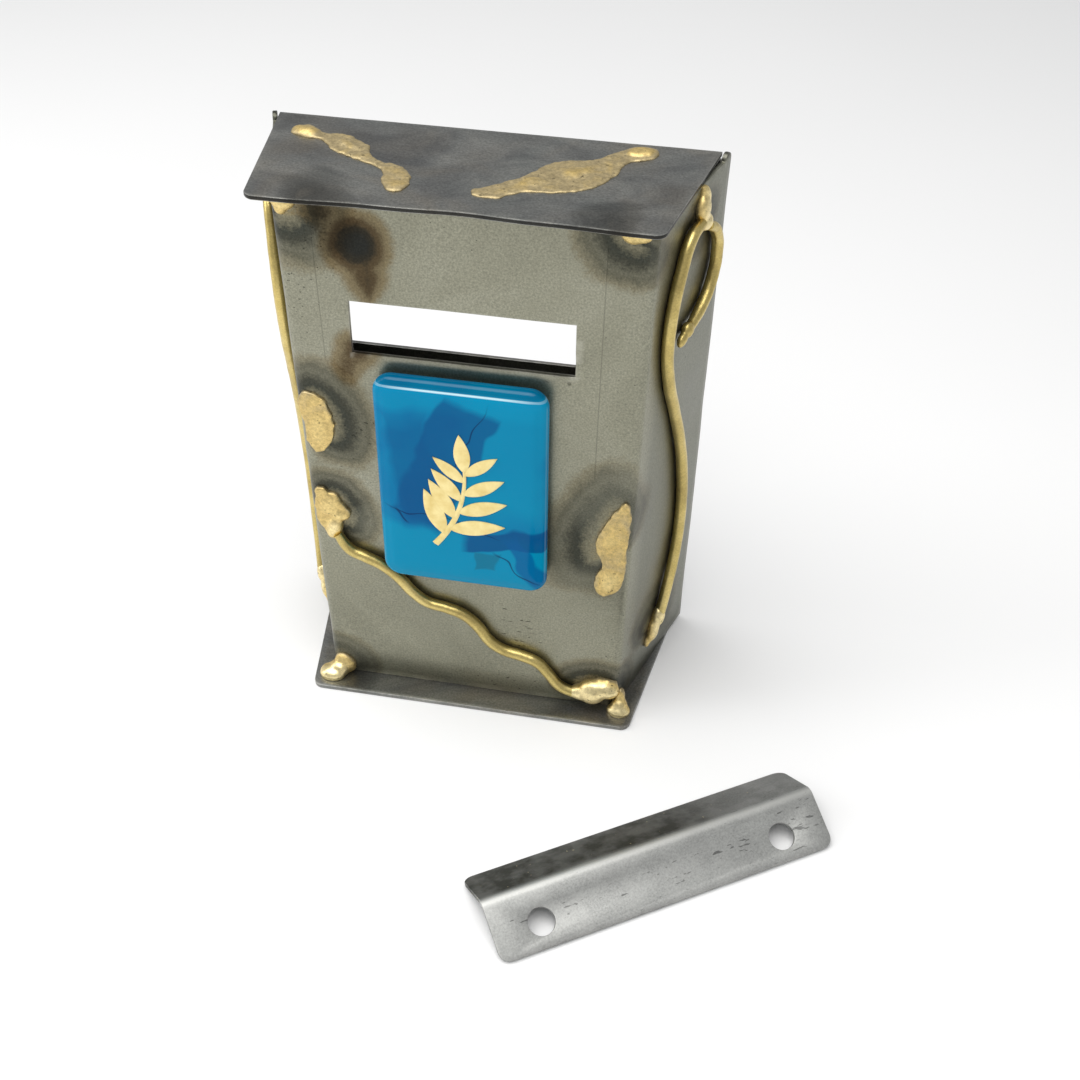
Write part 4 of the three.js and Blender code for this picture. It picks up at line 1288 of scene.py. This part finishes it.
# Shards of glass fused into the tile: middle and size in millimetres, off the tile's middle, lean
# in degrees, softness of their edges, tone, and how much of it shows
TILE_SHARDS = (
    ((12, 14), (24, 42), 8, 0.2, (0.0, 0.26, 0.45), 0.75),
    ((0, -25), (70, 26), 3, 0.1, (0.0, 0.27, 0.46), 0.85),
    ((0, 29), (60, 9), 0, 0.4, (0.0, 0.27, 0.47), 0.7),
    ((-5, 8), (15, 40), 24, 0.07, (0.0, 0.078, 0.24), 0.75),
    ((-13, 6), (11, 30), -5, 0.2, (0.0, 0.085, 0.25), 0.55),
    ((13, -14.5), (24, 6.4), -8, 0.1, (0.0, 0.07, 0.23), 0.85),
    ((17.5, -22), (5, 18), -26, 0.15, (0.0, 0.10, 0.30), 0.75),
    ((7.3, -23), (6, 7.4), 6, 0.1, (0.008, 0.13, 0.21), 0.6),
)
SHARD_SWAY = 12 * MM
# Hairlines between the shards: middle, size and lean
TILE_HAIRLINES = (
    ((14.6, -24.4), (14, 0.4), 43), ((-17.8, -8.6), (4, 0.5), 36), ((0, 12), (0.3, 30), 24),
    ((1.5, -10.4), (15, 0.4), 24), ((-12, -7.6), (17, 0.3), 0),
)


def pane(tree, place, centre, size, lean=0.0, soft=0.1):
    """1 inside a leaning rectangle on the tile's face, in millimetres off its middle, or else 0."""
    fitted = put(tree, "Mapping", {
        "Vector": place, "Location": TILE_MIDDLE + Vector((centre[0], 0, centre[1])) * MM,
        "Rotation": (0, radians(lean), 0), "Scale": (size[0] / 2 * MM, 1, size[1] / 2 * MM),
    }, vector_type="TEXTURE").outputs["Vector"]
    x, _, z = axes(tree, fitted)
    far = sums(tree, "MAXIMUM", sums(tree, "ABSOLUTE", x), sums(tree, "ABSOLUTE", z))
    return span(tree, far, 1 - soft, 1 + soft, 1, 0)


def swayed(tree, place):
    """The place, pushed about a little, as the shards' edges ran in the kiln."""
    sway = put(tree, "TexNoise", {"Vector": place, "Scale": 60.0, "Detail": 2.0}).outputs["Color"]
    push = put(tree, "VectorMath", {0: sway, "Scale": SHARD_SWAY}, operation="SCALE")
    bent = put(tree, "VectorMath", {0: place, 1: push.outputs["Vector"]}, operation="ADD")
    back = {0: bent.outputs["Vector"], 1: (SHARD_SWAY / 2,) * 3}
    return put(tree, "VectorMath", back, operation="SUBTRACT").outputs["Vector"]


def tile_glass():
    """Turquoise fused glass: darker shards and hairlines below the surface, and a few seeds."""
    material, tree = finish_named("fused_glass")
    place = place_of(tree)
    bent = swayed(tree, place)
    cloud = grain(tree, place, 42, 3, 0.5)
    colour = tones(tree, cloud, (0.3, (0.0, 0.13, 0.33)), (0.48, (0.0, 0.18, 0.38)),
                   (0.7, (0.0, 0.24, 0.43)))
    for centre, size, lean, soft, tone, share in TILE_SHARDS:
        inside = pane(tree, bent, centre, size, lean, soft)
        colour = mix(tree, "MIX", sums(tree, "MULTIPLY", inside, share), colour, tone)
    for centre, size, lean in TILE_HAIRLINES:
        inside = pane(tree, bent, centre, size, lean, 0.3)
        colour = mix(tree, "MIX", sums(tree, "MULTIPLY", inside, 0.75), colour, (0.0, 0.02, 0.09))
    _, y, z = axes(tree, place)
    # Painted shade along the tile's top edge, against the light that falls on it from above.
    above = span(tree, z, TILE_HIGH.z - 2.6 * MM, TILE_HIGH.z - 1.4 * MM, 0, 1)
    colour = mix(tree, "MULTIPLY", above, colour, (0.6, 0.58, 0.6))
    colour = edge_highlights(tree, place, y, colour)
    colour = seeded(tree, place, colour)
    normal = relief(tree, grain(tree, place, 110, 1), 0.12, 0.3 * MM)
    surface(tree, colour, 0.08, normal, IOR=1.5, Specular_IOR_Level=0.1)
    return material


def edge_highlights(tree, place, y, colour):
    """The colour, with a painted highlight line along the top of the face and fainter painted
    highlights just round its edges.
    """
    # Painted highlight: a thin pale line just below the top edge, and a fainter pale rim round the
    # edges next to the face.
    top_highlight = pane(tree, place, (0, 30.4), (35, 0.5), soft=0.4)
    edge = sums(tree, "SUBTRACT", 1, pane(tree, place, (0, 0), (44.2, 64.6), soft=0.008))
    near_face = span(tree, y, TILE_LOW.y + 0.9 * MM, TILE_LOW.y + 2 * MM, 1, 0)
    edge = sums(tree, "MULTIPLY", edge, near_face)
    top_highlight = sums(tree, "MULTIPLY", top_highlight, 0.9)
    pale = sums(tree, "MAXIMUM", top_highlight, sums(tree, "MULTIPLY", edge, 0.3))
    return mix(tree, "MIX", pale, colour, (0.62, 0.86, 0.93))


def seeded(tree, place, colour):
    """The colour, with a few small pale bubbles."""
    seeds = put(tree, "TexVoronoi", {"Vector": place, "Scale": 190.0, "Randomness": 1.0}).outputs
    pick = put(tree, "SeparateColor", {"Color": seeds["Color"]}).outputs["Green"]
    dot = sums(tree, "MULTIPLY", span(tree, seeds["Distance"], 0.04, 0.08, 1, 0),
               sums(tree, "GREATER_THAN", pick, 0.9))
    return mix(tree, "MIX", sums(tree, "MULTIPLY", dot, 0.7), colour, (0.35, 0.72, 0.85))


def gold_leaf():
    material, tree = finish_named("gold_leaf")
    place = place_of(tree)
    cloud = grain(tree, place, 300, 3)
    colour = tones(tree, cloud, (0.3, (0.78, 0.60, 0.22)), (0.7, (0.95, 0.80, 0.38)))
    rough = span(tree, cloud, 0.3, 0.7, 0.3, 0.42)
    normal = relief(tree, grain(tree, place, 1500, 2), 0.25, 0.03 * MM)
    surface(tree, colour, rough, normal, Metallic=0.55)
    return material


def clear_glue():
    material, tree = finish_named("clear_glue")
    cloud = grain(tree, place_of(tree), 200, 2)
    colour = tones(tree, cloud, (0.3, (0.52, 0.54, 0.56)), (0.7, (0.68, 0.70, 0.72)))
    surface(tree, colour, 0.4, None, IOR=1.4, Subsurface_Weight=0.3, Subsurface_Scale=0.4 * MM)
    return material


def pale_floor():
    material, tree = finish_named("pale_floor")
    cloud = grain(tree, place_of(tree), 3, 2)
    colour = tones(tree, cloud, (0.3, grey(0.86)), (0.7, grey(0.88)))
    surface(tree, colour, 0.7, None)
    return material


def give(piece, material):
    piece.data.materials.clear()
    piece.data.materials.append(material)


# --- Heat colours, painted on as numbers --------------------------------------------------------

OUT_OF_REACH = 2.0  # of the torch, well past the last heat colour


def paint(piece, name, values):
    """Keeps a number at each of the piece's points, for its finish to read."""
    layer = piece.data.attributes.new(name, "FLOAT", "POINT")
    layer.data.foreach_set("value", np.asarray(values, np.float32))


def places(piece):
    """The piece's points, one in each row."""
    flat = np.empty(len(piece.data.vertices) * 3)
    piece.data.vertices.foreach_get("co", flat)
    return flat.reshape(-1, 3)


def off_source(points, centre, half, reach, start=0.0, way=None):
    """From start at the edge of an oval source to 1 past its reach; it reaches mostly one way."""
    off = points - np.array(centre)
    length = np.sqrt((off ** 2).sum(1)) + 1e-9
    share = np.sqrt(((off / np.array(half)) ** 2).sum(1)) + 1e-9
    gap = length * np.maximum(0, 1 - 1 / share)
    value = start + (1 - start) * gap / reach
    if way is not None:
        value += 0.9 * np.maximum(0, 0.15 - off @ np.array(way) / length)
    return value


# How far the torch coloured the steel round each bead, in millimetres, and which way most
TORCH_REACH = {
    "left_edge_braze": (14, (0.86, 0, 0.5)), "front_rod_left_braze": (10, (0.8, 0, 0.6)),
    "right_edge_braze": (19, (-0.8, 0, 0.6)), "roof_left_braze": (17, (0.7, 0, -0.7)),
    "roof_right_braze": (14, (-0.6, 0, -0.8)), "base_left_braze": (10, (0.6, 0, 0.8)),
    "front_rod_right_braze": (9, (-0.3, 0, 0.95)), "base_right_braze": (11, (0, 0, 1)),
    "right_rod_top_braze": (12, (0, 0, -1)), "left_rod_top_braze": (12, (0, 0, -1)),
    "right_rod_foot_braze": (17, (0, 0.4, 0.9)), "left_rod_foot_braze": (17, (0, 0.4, 0.9)),
}


# Scorch marks on the front, in millimetres: place across and up, half size and reach, and how far
# along its reach each one starts
SCORCHES = (
    ((-25.6, 145.2), (2.2, 3, 2.6), 8.5, 0), ((-23.8, 137), (0.8, 1, 4.5), 6.5, 0.36),
    ((-34, 153), (3, 1, 0.8), 5, 0.5), ((-27.4, 115.6), (1, 1, 1), 6.5, 0.34),
    ((-30.5, 110.5), (1, 1, 3), 5, 0.5),
)


def paint_heat(body, roof, base, beads):
    """Heat spreads round each braze: farther round a big bead than a small one."""
    sources = []
    for node, (reach, way) in TORCH_REACH.items():
        low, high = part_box(node)
        half = (high - low) / 2
        if node in beads:
            shape = places(beads[node])
            half = (shape.max(0) - shape.min(0)) / 2
            low = high = Vector((shape.max(0) + shape.min(0)) / 2)
        size = [max(length * 0.8, 1.5 * MM) for length in half]
        sources.append(((low + high) / 2, size, reach * MM, 0, way))
    for piece in (body, roof, base):
        points = places(piece)
        nearest = np.minimum.reduce([off_source(points, *source) for source in sources])
        paint(piece, "torch", nearest)
    points = places(body)
    burns = []
    for (x, z), half, reach, start in SCORCHES:
        centre = on_front(x * MM, z * MM, 0)
        burns.append(off_source(points, centre, np.array(half) * MM, reach * MM, start))
    paint(body, "burn", np.minimum.reduce(burns))


def paint_crest(piece, out_of):
    """How proud each point stands, from 0 at the steel to 1 where the brass is thick."""
    paint(piece, "crest", np.clip(out_of(places(piece)) / THICK_BRASS, 0, 1))


def paint_rub(piece):
    """1 along the piece's sharp edges, where handling rubs it bright, and 0 on its faces."""
    shape = bmesh.new()
    shape.from_mesh(piece.data)
    shape.normal_update()
    sharp = [max(1 - v.normal.dot(f.normal) for f in v.link_faces) for v in shape.verts]
    shape.free()
    paint(piece, "rub", np.clip(12 * np.array(sharp), 0, 1))


# How far points stand off the steel behind them, for the three ways that brass lies
def off_front(points):
    return FRONT_Y - points[:, 1]


def off_roof(points):
    return points[:, 2] - ROOF_TOP


def off_middle(points):
    """Distance from the middle plane of the box, past the nearest point."""
    across = np.abs(points[:, 0])
    return across - across.min()


# --- Studio -----------------------------------------------------------------------------------

def set_camera():
    """Looks down on the front, from a little to the right."""
    place = Vector((73.98, -324.48, 325.47)) * MM
    yaw, pitch, roll = 0.1767, 0.7036, 0.0115
    ahead = Vector((-sin(yaw) * cos(pitch), cos(yaw) * cos(pitch), -sin(pitch)))
    level = Vector((cos(yaw), sin(yaw), 0))
    lift = level.cross(ahead)
    right = level * cos(roll) + lift * sin(roll)
    up = lift * cos(roll) - level * sin(roll)
    data = bpy.data.cameras.new("camera")
    data.lens = 50.89
    data.sensor_width = 36
    data.clip_start, data.clip_end = 0.01, 20
    camera = bpy.data.objects.new("camera", data)
    bpy.context.scene.collection.objects.link(camera)
    turn = Matrix((right, up, -ahead)).transposed()
    camera.matrix_world = Matrix.Translation(place) @ turn.to_4x4()
    bpy.context.scene.camera = camera


def soft_light(name, place, target, size, power, warmth=1.0):
    data = bpy.data.lights.new(name, "AREA")
    data.shape = "RECTANGLE"
    data.size, data.size_y = size
    data.energy = power
    data.color = (1.0, lerp(1.0, 0.96, warmth), lerp(1.0, 0.9, warmth))
    light = bpy.data.objects.new(name, data)
    bpy.context.scene.collection.objects.link(light)
    light.location = place
    light.rotation_euler = (Vector(target) - Vector(place)).to_track_quat("-Z", "Y").to_euler()


def set_studio():
    scene = bpy.context.scene
    scene.view_settings.view_transform = "Standard"
    world = bpy.data.worlds.new("soft_room")
    world.use_nodes = True
    world.node_tree.nodes["Background"].inputs["Color"].default_value = (0.98, 0.99, 1.0, 1)
    world.node_tree.nodes["Background"].inputs["Strength"].default_value = 0.5
    scene.world = world
    target = (0.02, -0.03, 0.05)
    soft_light("overhead", (-0.12, -0.22, 0.95), target, (1.1, 0.8), 9.5, 0.2)
    soft_light("side", (-0.75, -0.2, 0.4), target, (0.3, 0.6), 1.6, 0.0)
    clear_bench()
    bpy.ops.mesh.primitive_grid_add(
        x_subdivisions=4, y_subdivisions=4, size=6, location=(0, 0, -SEAM)
    )
    floor = settle(name_it("floor"))
    give(floor, pale_floor())


# --- Assembly ---------------------------------------------------------------------------------

def fit(piece, node, body, material):
    give(piece, material)
    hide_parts(node)
    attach(piece, body)


def assemble():
    """Makes every piece, gives it its finish and its body, and hides the node that it stands for.
    """
    steel, black, mill = bare_steel(), black_steel(), bracket_steel()
    rod, bead = rod_brass(), bead_brass()
    body, roof, base = folded_body(), roof_sheet(), base_sheet()
    fit(body, "body_wrap", "box", steel)
    fit(roof, "roof_plate", "box", black)
    fit(base, "base_plate", "box", black)
    back = back_sheet()
    paint(back, "torch", np.full(len(back.data.vertices), OUT_OF_REACH))
    fit(back, "back_panel", "box", black)
    fit(fused_tile(), "glass_tile", "box", tile_glass())
    fit(glue_pad(), "tile_glue", "box", clear_glue())
    fit(gilt_sprig(), "gold_sprig", "box", gold_leaf())
    fit(bend_rod("wave_rod", FRONT_ROD_POINTS, [(0, 0.85)]), "front_rod", "box", rod)

    core = body_core()
    under_roof = space("roof_space", ROOF_Z - 0.02 * MM, 200 * MM)
    over_base = space("base_space", -50 * MM, FLOOR_Z - 0.04 * MM)
    fronts = front_beads(core, under_roof, over_base)
    sides = side_brass(core, under_roof)
    for cutter in (core, under_roof, over_base):
        bpy.data.objects.remove(cutter)
    runs, backs = roof_runs(), back_beads()
    for pieces, out_of in (
        (fronts, off_front), (sides, off_middle), (runs, off_roof), (backs, off_middle),
    ):
        for node, piece in pieces.items():
            is_rod = node.endswith(("_rod", "_hook"))
            if not is_rod:
                paint_crest(piece, out_of)
            fit(piece, node, "box", rod if is_rod else bead)
    paint_heat(body, roof, base, fronts)
    bracket = hanging_bracket()
    fit(bracket, "wall_bracket", "bracket", mill)
    for sheet in (body, roof, base, back, bracket):
        paint_rub(sheet)


set_camera()
set_studio()
assemble()
